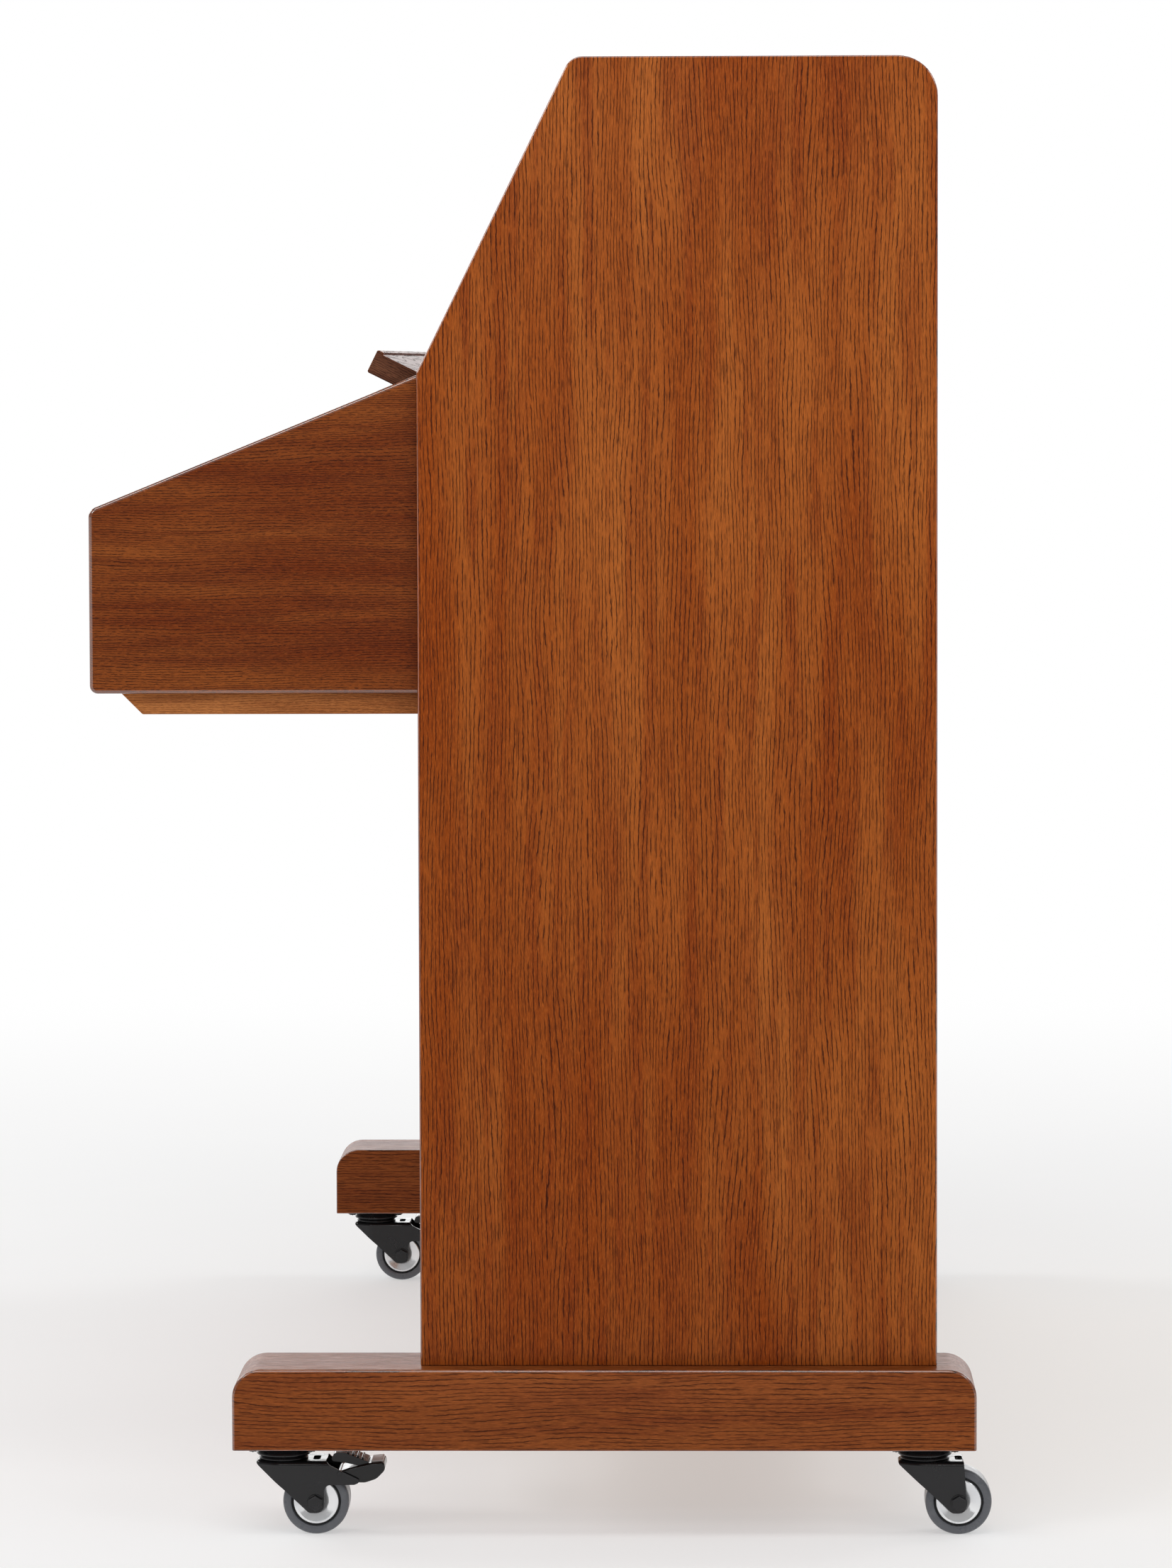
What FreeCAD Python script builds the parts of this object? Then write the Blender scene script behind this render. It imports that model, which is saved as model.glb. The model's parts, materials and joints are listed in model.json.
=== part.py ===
"""Upright piano in a slab-sided cabinet on castered base beams.

One STEP file per piece, in millimetres, +Z up, the keyboard facing -Y.
While modelling, y = 0 is the front edge of the side panels and z = 0 is the floor.
save() shifts every piece so that the origin is the centre of the footprint.
"""
import FreeCAD, Part
import math
import os

# ---- driving dimensions -------------------------------------------------
FOOTPRINT_CENTRE_Y = 91.3       # from the side panels' front edge

# base beams and casters
BEAM_OUTER_X = 700.0
BEAM_INNER_X = 616.0
BEAM_FRONT_Y = -140.3
BEAM_REAR_Y = 415.4
BEAM_BOTTOM_Z = 68.0
BEAM_TOP_Z = 129.0
BEAM_END_RADIUS = 21.0
CASTER_X = 658.0
CASTER_FRONT_Y = -104.5         # swivel axes
CASTER_REAR_Y = 378.0
CASTER_TRAIL = 25.0
WHEEL_RADIUS = 25.0
WHEEL_WIDTH = 30.0

# cabinet
PANEL_OUTER_X = 680.0
PANEL_INNER_X = 658.0
PANEL_DEPTH = 386.4
CABINET_TOP_Z = 1104.4
SLOPE_BOTTOM_Z = 871.0          # where the front edge starts to lean back
SLOPE_TOP_Y = 115.2
CHEEK_OUTER_X = 670.0
CHEEK_INNER_X = 648.0
CHEEK_FRONT_Y = -245.4
CHEEK_BOTTOM_Z = 633.0
CHEEK_FRONT_TOP_Z = 770.0
CHEEK_REAR_TOP_Z = 870.0
KEYBED_BOTTOM_Z = 617.0
KEYBED_TOP_Z = 655.0
DESK_SETBACK = 13.4             # music desk behind the slope of the side panels
DESK_THICKNESS = 20.0           # measured along y
LID_BOTTOM_Z = 1080.0
LID_TOP_Z = 1098.0
LID_REAR_Y = 366.0
LID_HINGE = (371.0, 1084.0)     # y, z
FALLBOARD_HINGE = (-66.0, 728.0)
FALLBOARD_LENGTH = 134.0
FALLBOARD_LEAN = 20.0           # degrees behind upright when open

# keyboard
NOTES = 88
BASS_NOTES = 28
KEY_PITCH = 23.6
KEY_FRONT_Y = -210.0
KEY_HEAD_REAR_Y = -160.0
KEY_VISIBLE_REAR_Y = -64.0
KEY_STICK_REAR_Y = 150.0
KEY_BOTTOM_Z = 683.0
KEY_TOP_Z = 705.0
SHARP_TOP_Z = 717.0
BALANCE_Y = 5.0

# action, from the hammer's pivot
HAMMER_PIVOT = (183.0, 850.0)
HAMMER_STROKE = 22.95           # degrees from rest to string
STRIKE_Z = 955.0
DAMPER_NOTES = 66
DAMPER_PIVOT = (216.0, 790.0)
DAMPER_HEAD_LOW = 82.0          # above the damper's pivot
DAMPER_HALF_WIDTH = 5.0
CENTRE_ROD_RADIUS = 2.0
CENTRE_BORE_RADIUS = 2.3

# strung back
BASS_STRING_Y = 246.0
TREBLE_STRING_Y = 252.0
PLATE_FRONT_Y = 264.0
PLATE_REAR_Y = 276.0
SOUNDBOARD_FRONT_Y = 284.0
SOUNDBOARD_REAR_Y = 292.0
POST_FRONT_Y = 311.0
POST_REAR_Y = 383.0
TIMBER_TOP_Z = 1079.0
STRUTS_X = (-420.0, -150.0, 120.0, 390.0)
STRUT_HALF_WIDTH = 12.0

# pedals
PEDALS = {"soft": -70.0, "practice": 0.0, "sustain": 70.0}
PEDAL_PIVOT = (90.0, 117.0)
PEDAL_TIP_Y = -25.0
PEDAL_REAR_Y = 230.0
ROD_Y = 218.0
BOTTOM_BOARD_TOP_Z = 105.0

SLOPE = SLOPE_TOP_Y / (CABINET_TOP_Z - SLOPE_BOTTOM_Z)


# ---- helpers ------------------------------------------------------------
def vec(x, y, z):
    return FreeCAD.Vector(x, y, z)


def box(x0, x1, y0, y1, z0, z1):
    return Part.makeBox(x1 - x0, y1 - y0, z1 - z0, vec(x0, y0, z0))


def rod(start, end, radius):
    """Cylinder from one point to another."""
    span = end.sub(start)
    return Part.makeCylinder(radius, span.Length, start, span)


def wire(corners, place):
    """Closed outline through corners (u, v) or (u, v, radius), placed in space by place(u, v)."""
    ends = []
    for i, corner in enumerate(corners):
        u, v = corner[0], corner[1]
        radius = corner[2] if len(corner) > 2 else 0.0
        before, after = corners[i - 1], corners[(i + 1) % len(corners)]
        if radius == 0.0:
            ends.append(((u, v), None, (u, v)))
            continue
        back = (before[0] - u, before[1] - v)
        ahead = (after[0] - u, after[1] - v)
        back = [c / math.hypot(*back) for c in back]
        ahead = [c / math.hypot(*ahead) for c in ahead]
        half = math.acos(back[0] * ahead[0] + back[1] * ahead[1]) / 2
        run = radius / math.tan(half)
        middle = [back[0] + ahead[0], back[1] + ahead[1]]
        reach = (radius / math.sin(half) - radius) / math.hypot(*middle)
        ends.append(((u + back[0] * run, v + back[1] * run),
                     (u + middle[0] * reach, v + middle[1] * reach),
                     (u + ahead[0] * run, v + ahead[1] * run)))
    edges = []
    for i, (start, middle, end) in enumerate(ends):
        if middle:
            edges.append(Part.Arc(place(*start), place(*middle), place(*end)).toShape())
        following = ends[(i + 1) % len(ends)][0]
        if math.dist(end, following) > 1e-6:
            edges.append(Part.LineSegment(place(*end), place(*following)).toShape())
    return Part.Wire(edges)


def slab_x(corners, x0, x1):
    """Side outline in (y, z) carried from x0 to x1."""
    return Part.Face(wire(corners, lambda y, z: vec(x0, y, z))).extrude(vec(x1 - x0, 0, 0))


def slab_y(corners, y0, y1):
    """Front outline in (x, z) carried from y0 to y1."""
    return Part.Face(wire(corners, lambda x, z: vec(x, y0, z))).extrude(vec(0, y1 - y0, 0))


def slab_z(corners, z0, z1):
    """Plan outline in (x, y) carried from z0 to z1."""
    return Part.Face(wire(corners, lambda x, y: vec(x, y, z0))).extrude(vec(0, 0, z1 - z0))


def soften(shape, radius, chosen):
    """Rounds the edges that chosen(edge) picks."""
    return shape.makeFillet(radius, [edge for edge in shape.Edges if chosen(edge)])


def joined(*shapes):
    return shapes[0].multiFuse(list(shapes[1:])).removeSplitter()


def group(shapes):
    return Part.makeCompound(list(shapes))


def moved(shape, x=0.0, y=0.0, z=0.0):
    copy = shape.copy()
    copy.translate(vec(x, y, z))
    return copy


def turned(shape, pivot, degrees):
    """Turned about the X axis through pivot (y, z)."""
    copy = shape.copy()
    copy.rotate(vec(0, pivot[0], pivot[1]), vec(1, 0, 0), degrees)
    return copy


def save(name, shape):
    """Writes one node, with the origin moved to the centre of the footprint."""
    moved(shape, y=-FOOTPRINT_CENTRE_Y).exportStep("parts/" + name + ".step")


def on_side(side, x0, x1):
    """The span x0..x1 on the right (+1), or its mirror image on the left (-1)."""
    return (x0, x1) if side > 0 else (-x1, -x0)


def slope_y(z, setback=0.0):
    """Depth of the leaning front at height z."""
    return setback + (z - SLOPE_BOTTOM_Z) * SLOPE


SIDES = {"right": 1, "left": -1}


# ---- cabinet ------------------------------------------------------------
def flat_at(x):
    return lambda edge: all(abs(abs(v.X) - x) < 0.01 for v in edge.Vertexes)


def side_panel(side):
    corners = [(0, BEAM_TOP_Z), (PANEL_DEPTH, BEAM_TOP_Z), (PANEL_DEPTH, CABINET_TOP_Z, 30),
               (SLOPE_TOP_Y, CABINET_TOP_Z, 14), (0, SLOPE_BOTTOM_Z, 4)]
    panel = slab_x(corners, *on_side(side, PANEL_INNER_X, PANEL_OUTER_X))
    return soften(panel, 1.2, flat_at(PANEL_OUTER_X))


def cheek(side):
    corners = [(CHEEK_FRONT_Y, CHEEK_BOTTOM_Z, 6), (0, CHEEK_BOTTOM_Z), (0, CHEEK_REAR_TOP_Z),
               (CHEEK_FRONT_Y, CHEEK_FRONT_TOP_Z, 8)]
    blank = slab_x(corners, *on_side(side, CHEEK_INNER_X, CHEEK_OUTER_X))

    def outer_arris(edge):
        on_rear = all(abs(v.Y) < 0.01 for v in edge.Vertexes)
        return flat_at(CHEEK_OUTER_X)(edge) and not on_rear

    def inner_arris(edge):
        on_rear = all(abs(v.Y) < 0.01 for v in edge.Vertexes)
        low = all(v.Z < CHEEK_BOTTOM_Z + 0.01 for v in edge.Vertexes)
        return flat_at(CHEEK_INNER_X)(edge) and not on_rear and not low

    return soften(soften(blank, 3.0, outer_arris), 2.0, inner_arris)


def keybed():
    """A slab with rebated ends: the cheeks sit on its lower layer."""
    front = -223.0
    bevel = CHEEK_BOTTOM_Z - KEYBED_BOTTOM_Z
    rear = 140.0
    lower = slab_x([(front + bevel, KEYBED_BOTTOM_Z), (rear, KEYBED_BOTTOM_Z),
                    (rear, CHEEK_BOTTOM_Z), (front, CHEEK_BOTTOM_Z)],
                   -PANEL_INNER_X, PANEL_INNER_X)
    upper = box(-CHEEK_INNER_X, CHEEK_INNER_X, -217, rear, CHEEK_BOTTOM_Z, KEYBED_TOP_Z)
    return joined(lower, upper)


def key_slip():
    return slab_x([(-241, CHEEK_BOTTOM_Z, 2), (-217, CHEEK_BOTTOM_Z), (-217, 697, 2), (-241, 697, 6)],
                  -CHEEK_INNER_X, CHEEK_INNER_X)


def cheek_block(side):
    return slab_x([(-217, KEYBED_TOP_Z), (-67, KEYBED_TOP_Z), (-67, 716), (-217, 716, 6)],
                  *on_side(side, 615.5, CHEEK_INNER_X))


def name_board():
    return box(-PANEL_INNER_X, PANEL_INNER_X, 0, 18, 709, 850)


def desk_panel():
    low, high = 850.0, LID_BOTTOM_Z - 0.5
    front_low, front_high = slope_y(low, DESK_SETBACK), slope_y(high, DESK_SETBACK)
    return slab_x([(front_low, low), (front_low + DESK_THICKNESS, low),
                   (front_high + DESK_THICKNESS, high), (front_high, high)],
                  -PANEL_INNER_X, PANEL_INNER_X)


def music_ledge():
    """A shelf square to the music desk, with a raised bead along its front edge."""
    lean = math.atan(SLOPE)
    inward = (math.cos(lean), -math.sin(lean))
    upward = (math.sin(lean), math.cos(lean))
    root = (slope_y(866.2, DESK_SETBACK), 866.2)
    length, thickness, bead, bead_height = 46.9, 16.5, 5.0, 1.8

    def at(out, up):
        return (root[0] - inward[0] * out + upward[0] * up, root[1] - inward[1] * out + upward[1] * up)

    corners = [at(0, -thickness), at(0, 0), at(length - bead, 0), at(length - bead, bead_height) + (0.8,),
               at(length, bead_height) + (1.2,), at(length, -thickness) + (1.5,)]
    return slab_x(corners, -645, 645)


def lower_front_panel():
    """Knee panel, notched at the bottom to stand between the beams, with three pedal slots."""
    panel = slab_y([(-BEAM_INNER_X, BOTTOM_BOARD_TOP_Z), (BEAM_INNER_X, BOTTOM_BOARD_TOP_Z),
                    (BEAM_INNER_X, BEAM_TOP_Z), (PANEL_INNER_X, BEAM_TOP_Z),
                    (PANEL_INNER_X, KEYBED_BOTTOM_Z), (-PANEL_INNER_X, KEYBED_BOTTOM_Z),
                    (-PANEL_INNER_X, BEAM_TOP_Z), (-BEAM_INNER_X, BEAM_TOP_Z)], 50, 68)
    slots = [slab_y([(x - 11, 100), (x + 11, 100), (x + 11, 131, 5), (x - 11, 131, 5)], 40, 80)
             for x in PEDALS.values()]
    return panel.cut(group(slots))


def fallboard():
    """Key lid, shown open: it leans back from its hinge behind the keys."""
    y, z = FALLBOARD_HINGE
    half = 8.0
    upright = slab_x([(y - half, z + 4), (y + half, z + 4), (y + half, z + FALLBOARD_LENGTH, 3),
                      (y - half, z + FALLBOARD_LENGTH, 3)], -644, 644)
    return turned(upright, FALLBOARD_HINGE, -FALLBOARD_LEAN)


def fallboard_hinge():
    """The fixed leaf along the hinge rail, with its pin."""
    y, z = FALLBOARD_HINGE
    pin = rod(vec(-630, y, z), vec(630, y, z), 3.0)
    leaf = slab_x([(y, z - 3), (y + 22, z - 3.9), (y + 22, z - 2.7), (y, z - 1.5)], -630, 630)
    return joined(pin, leaf)


def top_lid():
    corners = [(slope_y(LID_BOTTOM_Z, DESK_SETBACK), LID_BOTTOM_Z), (LID_REAR_Y, LID_BOTTOM_Z),
               (LID_REAR_Y, LID_TOP_Z, 2), (slope_y(LID_TOP_Z, DESK_SETBACK), LID_TOP_Z, 3)]
    return slab_x(corners, -657, 657)


def lid_hinge():
    """The fixed leaf, bent to lie on the back frame's upper timber, with its pin."""
    y, z = LID_HINGE
    pin = rod(vec(-640, y, z), vec(640, y, z), 3.0)
    upright = box(-640, 640, y - 0.5, y + 0.5, TIMBER_TOP_Z, z)
    flat = box(-640, 640, y - 0.5, POST_REAR_Y, TIMBER_TOP_Z, TIMBER_TOP_Z + 1)
    return joined(pin, upright, flat)


def base_beam(side):
    corners = [(BEAM_FRONT_Y, BEAM_BOTTOM_Z), (BEAM_REAR_Y, BEAM_BOTTOM_Z),
               (BEAM_REAR_Y, BEAM_TOP_Z, BEAM_END_RADIUS), (BEAM_FRONT_Y, BEAM_TOP_Z, BEAM_END_RADIUS)]
    beam = slab_x(corners, *on_side(side, BEAM_INNER_X, BEAM_OUTER_X))

    def upper_outer_arris(edge):
        high = all(v.Z > BEAM_BOTTOM_Z + 1 for v in edge.Vertexes)
        return flat_at(BEAM_OUTER_X)(edge) and high

    return soften(beam, 2.0, upper_outer_arris)


def save_cabinet():
    for name, side in SIDES.items():
        save("side_panel_" + name, side_panel(side))
        save("cheek_" + name, cheek(side))
        save("base_beam_" + name, base_beam(side))
    save("keybed", keybed())
    save("key_slip", key_slip())
    save("cheek_blocks", group(cheek_block(side) for side in SIDES.values()))
    save("fallboard_rail", box(-CHEEK_INNER_X, CHEEK_INNER_X, -60, 0, 709, 724))
    save("name_board", name_board())
    save("name_board_felt", box(-614, 614, -63, -60, 706, 712))
    save("music_desk_panel", desk_panel())
    save("music_ledge", music_ledge())
    save("lower_front_panel", lower_front_panel())
    save("bottom_board", box(-BEAM_INNER_X, BEAM_INNER_X, 44, 380, 84, BOTTOM_BOARD_TOP_Z))
    save("top_lid", top_lid())
    save("lid_hinge", lid_hinge())
    save("fallboard", fallboard())
    save("fallboard_hinge", fallboard_hinge())


# ---- keyboard -----------------------------------------------------------
NATURALS = {0: 0, 2: 1, 4: 2, 5: 0, 7: 1, 9: 2, 11: 3}     # pitch class: place in C-E or F-B


def pitch_class(note):
    return (note + 9) % 12                                  # note 0 is an A


def natural_index(note):
    """How many natural keys lie to the left of this note."""
    return sum(1 for lower in range(note) if pitch_class(lower) in NATURALS)


def head_left(index):
    return (index - 26) * KEY_PITCH                         # 52 naturals about the centre


def key_slot(note):
    """Left edge and width of the equal share of the key's C-E or F-B group."""
    tone = pitch_class(note)
    if tone in NATURALS:
        first = natural_index(note) - NATURALS[tone]
    else:
        first = natural_index(note) - 1 - NATURALS[tone - 1]
    width = KEY_PITCH * 3 / 5 if tone < 5 else KEY_PITCH * 4 / 7
    step = tone if tone < 5 else tone - 5
    return head_left(first) + step * width, width


def key_centre(note):
    left, width = key_slot(note)
    return left + width / 2


def key_stick(note):
    centre = key_centre(note)
    return box(centre - 6, centre + 6, KEY_VISIBLE_REAR_Y - 1, KEY_STICK_REAR_Y, KEY_BOTTOM_Z, KEY_TOP_Z - 2)


def natural_key(note):
    """Wooden lever with its key top: a broad head, a narrower tail and the stick behind."""
    head = head_left(natural_index(note))
    left, width = key_slot(note)
    right = left + width
    if note == 0:
        left = head
    if note == NOTES - 1:
        right = head + KEY_PITCH
    gap, lip = 0.5, 2.5
    top = box(head + gap, head + KEY_PITCH - gap, KEY_FRONT_Y, KEY_HEAD_REAR_Y, KEY_TOP_Z - 2.5, KEY_TOP_Z)
    body = box(head + gap, head + KEY_PITCH - gap, KEY_FRONT_Y + lip, KEY_HEAD_REAR_Y, KEY_BOTTOM_Z, KEY_TOP_Z)
    tail = box(left + gap, right - gap, KEY_HEAD_REAR_Y, KEY_VISIBLE_REAR_Y, KEY_BOTTOM_Z, KEY_TOP_Z)
    return joined(top, body, tail, key_stick(note))


def sharp_cap():
    """Raised cap with sloping front and sides, centred on x = 0."""
    front, rear = -158.0, KEY_VISIBLE_REAR_Y - 1
    outline = [(front, KEY_TOP_Z - 2), (rear, KEY_TOP_Z - 2), (rear, SHARP_TOP_Z, 1),
               (front + 8, SHARP_TOP_Z, 4)]
    cap = slab_x(outline, -5.5, 5.5)
    taper = slab_y([(-5.5, KEY_TOP_Z - 2), (5.5, KEY_TOP_Z - 2), (4.4, SHARP_TOP_Z, 1.2), (-4.4, SHARP_TOP_Z, 1.2)],
                   front, rear)
    return cap.common(taper)


def sharp_key(note, cap):
    centre = key_centre(note)
    left, width = key_slot(note)
    lever = box(left + 0.5, left + width - 0.5, -158, KEY_VISIBLE_REAR_Y, KEY_BOTTOM_Z, KEY_TOP_Z - 2)
    return joined(lever, moved(cap, x=centre), key_stick(note))


def key_frame():
    """Front, balance and back rails; the balance rail is ridged where the keys rock."""
    width = 612.0
    front = box(-width, width, -205, -150, KEYBED_TOP_Z, 670)
    balance = slab_x([(-15, KEYBED_TOP_Z), (25, KEYBED_TOP_Z), (25, 674), (BALANCE_Y + 3, KEY_BOTTOM_Z - 0.5),
                      (BALANCE_Y - 3, KEY_BOTTOM_Z - 0.5), (-15, 674)], -width, width)
    back = box(-width, width, 112, 138, KEYBED_TOP_Z, KEY_BOTTOM_Z - 0.5)
    return group([front, balance, back])


def save_keyboard():
    cap = sharp_cap()
    registers = {"bass": range(BASS_NOTES), "treble": range(BASS_NOTES, NOTES)}
    for name, notes in registers.items():
        save(name + "_naturals", group(natural_key(n) for n in notes if pitch_class(n) in NATURALS))
        save(name + "_sharps", group(sharp_key(n, cap) for n in notes if pitch_class(n) not in NATURALS))
    save("key_frame", key_frame())


# ---- action -------------------------------------------------------------
def centre_bore(pivot):
    y, z = pivot
    return rod(vec(-12, y, z), vec(12, y, z), CENTRE_BORE_RADIUS)


def hammer(tip_y):
    """Butt, shank and felted head, drawn at the string and turned back to rest."""
    y, z = HAMMER_PIVOT
    butt = box(-4, 4, y - 7, y + 7, z - 12, z + 14)
    shank = rod(vec(0, y, z + 12), vec(0, y, STRIKE_Z), 2.8)
    head = slab_x([(y - 7, STRIKE_Z - 6), (y + 20, STRIKE_Z - 11), (tip_y - 12, STRIKE_Z - 11, 8),
                   (tip_y, STRIKE_Z, 7), (tip_y - 12, STRIKE_Z + 11, 8), (y + 20, STRIKE_Z + 11),
                   (y - 7, STRIKE_Z + 6)], -5.5, 5.5)
    return turned(joined(butt, shank, head).cut(centre_bore(HAMMER_PIVOT)), HAMMER_PIVOT, HAMMER_STROKE)


def damper(head_y):
    """Lever foot, wire and felt block that rests on the string."""
    y, z = DAMPER_PIVOT
    foot = box(-4, 4, y - 6, y + 10, z - 6, z + 6)
    stem = box(-1.5, 1.5, y + 6.5, y + 9.5, z + 5, z + 100)
    head = box(-DAMPER_HALF_WIDTH, DAMPER_HALF_WIDTH, y + 9.5, head_y, z + DAMPER_HEAD_LOW, z + 108)
    return joined(foot, stem, head).cut(centre_bore(DAMPER_PIVOT))


def damper_string_y(note):
    """Depth of the string in front of the damper: the last bass strings cross the first treble dampers."""
    lowest_z = DAMPER_PIVOT[1] + DAMPER_HEAD_LOW
    crossed = key_centre(note) - DAMPER_HALF_WIDTH < string_line(BASS_NOTES - 1, lowest_z).x + 3
    return BASS_STRING_Y if crossed else TREBLE_STRING_Y


def action_frame():
    """Two cast end brackets, the three rails between them and the rods that the levers turn on."""
    outline = [(104, KEYBED_TOP_Z), (139, KEYBED_TOP_Z, 4), (232, 762, 10), (232, 800, 10), (208, 838, 8),
               (148, 938, 6), (124, 938, 6), (124, 902, 10), (164, 806, 10), (150, 770, 10)]
    shapes = [slab_x(outline, *on_side(side, 622, 630)) for side in SIDES.values()]
    for y0, y1, z0, z1 in ((176, 206, 806, 834), (206, 226, 768, 782), (128, 145, 906, 926)):
        shapes.append(box(-622, 622, y0, y1, z0, z1))
    for y, z in (HAMMER_PIVOT, DAMPER_PIVOT):
        shapes.append(rod(vec(-622, y, z), vec(622, y, z), CENTRE_ROD_RADIUS))
    return group(shapes)


def save_action():
    bass = hammer(BASS_STRING_Y - 1.7)
    treble = hammer(TREBLE_STRING_Y - 1.0)
    save("bass_hammers", group(moved(bass, x=key_centre(n)) for n in range(BASS_NOTES)))
    save("treble_hammers", group(moved(treble, x=key_centre(n)) for n in range(BASS_NOTES, NOTES)))
    blocks = {BASS_STRING_Y: damper(BASS_STRING_Y - 1.7), TREBLE_STRING_Y: damper(TREBLE_STRING_Y - 1.0)}
    save("dampers", group(moved(blocks[damper_string_y(n)], x=key_centre(n)) for n in range(DAMPER_NOTES)))
    save("action_frame", action_frame())


# ---- strung back --------------------------------------------------------
BASS_SLANT = 0.45
TREBLE_SLANT = -0.16
TREBLE_LENGTH = 720.0
TREBLE_SHRINK = 0.957
PIN_ROW = 14.0


def string_foot(note):
    """Where the string crosses its bridge, in (x, z)."""
    if note < BASS_NOTES:
        z = 235.0 + 6.0 * note
        return key_centre(note) + BASS_SLANT * (STRIKE_Z - z), z
    z = STRIKE_Z - TREBLE_LENGTH * TREBLE_SHRINK ** (note - BASS_NOTES)
    return key_centre(note) + TREBLE_SLANT * (STRIKE_Z - z), z


def slant(note):
    return BASS_SLANT if note < BASS_NOTES else TREBLE_SLANT


def string_line(note, z):
    """Point of the note's string at height z."""
    y = BASS_STRING_Y if note < BASS_NOTES else TREBLE_STRING_Y
    return vec(key_centre(note) + slant(note) * (STRIKE_Z - z), y, z)


def pin_height(note):
    return 1006.0 + PIN_ROW * (note % 3)


def string(note):
    radius = 1.2 - 0.02 * note if note < BASS_NOTES else 0.5
    foot = string_foot(note)[1] - 22
    return rod(string_line(note, foot), string_line(note, pin_height(note) - 3.5), radius)


def tuning_pin(note):
    base = string_line(note, pin_height(note))
    return rod(vec(base.x, 238, base.z), vec(base.x, 300, base.z), 3.4)


def treble_curve(rise):
    """Smooth line along the treble strings' feet, raised by rise."""
    notes = (BASS_NOTES, 33, 39, 46, 54, 63, 74, NOTES - 1)
    spots = [string_foot(n) for n in notes]
    return [(x, z + rise) for x, z in spots]


def treble_bridge(half, y0, y1):
    lower = Part.BSplineCurve()
    lower.interpolate([vec(x, y0, z) for x, z in treble_curve(-half)])
    upper = Part.BSplineCurve()
    upper.interpolate([vec(x, y0, z) for x, z in treble_curve(half)])
    edges = [lower.toShape(), upper.toShape(),
             Part.LineSegment(lower.StartPoint, upper.StartPoint).toShape(),
             Part.LineSegment(lower.EndPoint, upper.EndPoint).toShape()]
    outline = Part.Wire(Part.__sortEdges__(edges))
    return Part.Face(outline).extrude(vec(0, y1 - y0, 0))


def bass_bridge(half, y0, y1):
    x0, z0 = string_foot(0)
    x1, z1 = string_foot(BASS_NOTES - 1)
    return slab_y([(x0 - half, z0 - half), (x1 + half, z1 - half), (x1 + half, z1 + half),
                   (x0 - half, z0 + half)], y0, y1)


def strut(x, spare=0.0):
    half = STRUT_HALF_WIDTH + spare
    return box(x - half, x + half, PLATE_FRONT_Y - spare, PLATE_REAR_Y + spare, 200, 990)


def bridges():
    """Maple bridges, notched where the plate's struts pass through them."""
    treble = treble_bridge(15, TREBLE_STRING_Y + 0.7, SOUNDBOARD_FRONT_Y)
    bass = bass_bridge(13, BASS_STRING_Y + 1.3, SOUNDBOARD_FRONT_Y)
    notches = group(strut(x, 1.5) for x in STRUTS_X)
    return group([treble.cut(notches), bass.cut(notches)])


def treble_foot_z(x):
    """Height of the treble bridge at x, between its two nearest feet."""
    feet = [string_foot(n) for n in range(BASS_NOTES, NOTES)]
    if x <= feet[0][0]:
        return feet[0][1]
    for (xa, za), (xb, zb) in zip(feet, feet[1:]):
        if xa <= x <= xb:
            return za + (zb - za) * (x - xa) / (xb - xa)
    return feet[-1][1]


def cast_iron_plate():
    """Perimeter, hitch-pin web below the bridges, struts and the pressure bar."""
    blank = slab_y([(-645, 150, 20), (645, 150, 20), (645, 1062, 12), (-645, 1062, 12)],
                   PLATE_FRONT_Y, PLATE_REAR_Y)
    edges = [-620.0] + [x for s in STRUTS_X for x in (s - STRUT_HALF_WIDTH, s + STRUT_HALF_WIDTH)] + [630.0]
    for left, right in zip(edges[::2], edges[1::2]):
        foot_left = treble_foot_z(left) - 24
        foot_right = treble_foot_z(right) - 24
        window = slab_y([(left, foot_left, 8), (right, foot_right, 8), (right, 965, 8), (left, 965, 8)],
                        PLATE_FRONT_Y - 5, PLATE_REAR_Y + 5)
        blank = blank.cut(window)
    blank = blank.cut(treble_bridge(17, PLATE_FRONT_Y - 5, PLATE_REAR_Y + 5).cut(
        group(strut(x, 0.0) for x in STRUTS_X)))
    blank = blank.cut(bass_bridge(16, PLATE_FRONT_Y - 5, PLATE_REAR_Y + 5).cut(
        group(strut(x, 0.0) for x in STRUTS_X)))
    bar = box(-640, 640, TREBLE_STRING_Y + 0.8, PLATE_FRONT_Y, 970, 984)
    return joined(blank, bar)


def soundboard_ribs():
    """Parallel spruce bars glued across the grain of the soundboard."""
    field = box(-640, 640, SOUNDBOARD_REAR_Y, POST_FRONT_Y - 1, 215, 970)
    ribs = []
    spacing, reach, half = 150.0, 1200.0, 11.0
    for step in range(-5, 6):
        bar = box(-reach, reach, SOUNDBOARD_REAR_Y, POST_FRONT_Y - 1, 592 - half, 592 + half)
        bar.rotate(vec(0, 0, 592), vec(0, 1, 0), 38)
        bar.translate(vec(step * spacing, 0, 0))
        ribs.append(bar.common(field))
    return group(rib for rib in ribs if rib.Volume > 1000)


def back_frame():
    """Top and bottom timbers with five posts between them."""
    shapes = [box(-PANEL_INNER_X, PANEL_INNER_X, POST_FRONT_Y, POST_REAR_Y, BEAM_TOP_Z, 199),
              box(-PANEL_INNER_X, PANEL_INNER_X, POST_FRONT_Y, POST_REAR_Y, 1010, TIMBER_TOP_Z)]
    for step in range(-2, 3):
        x = 290.0 * step
        shapes.append(box(x - 30, x + 30, POST_FRONT_Y, POST_REAR_Y, 199, 1010))
    return group(shapes)


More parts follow.
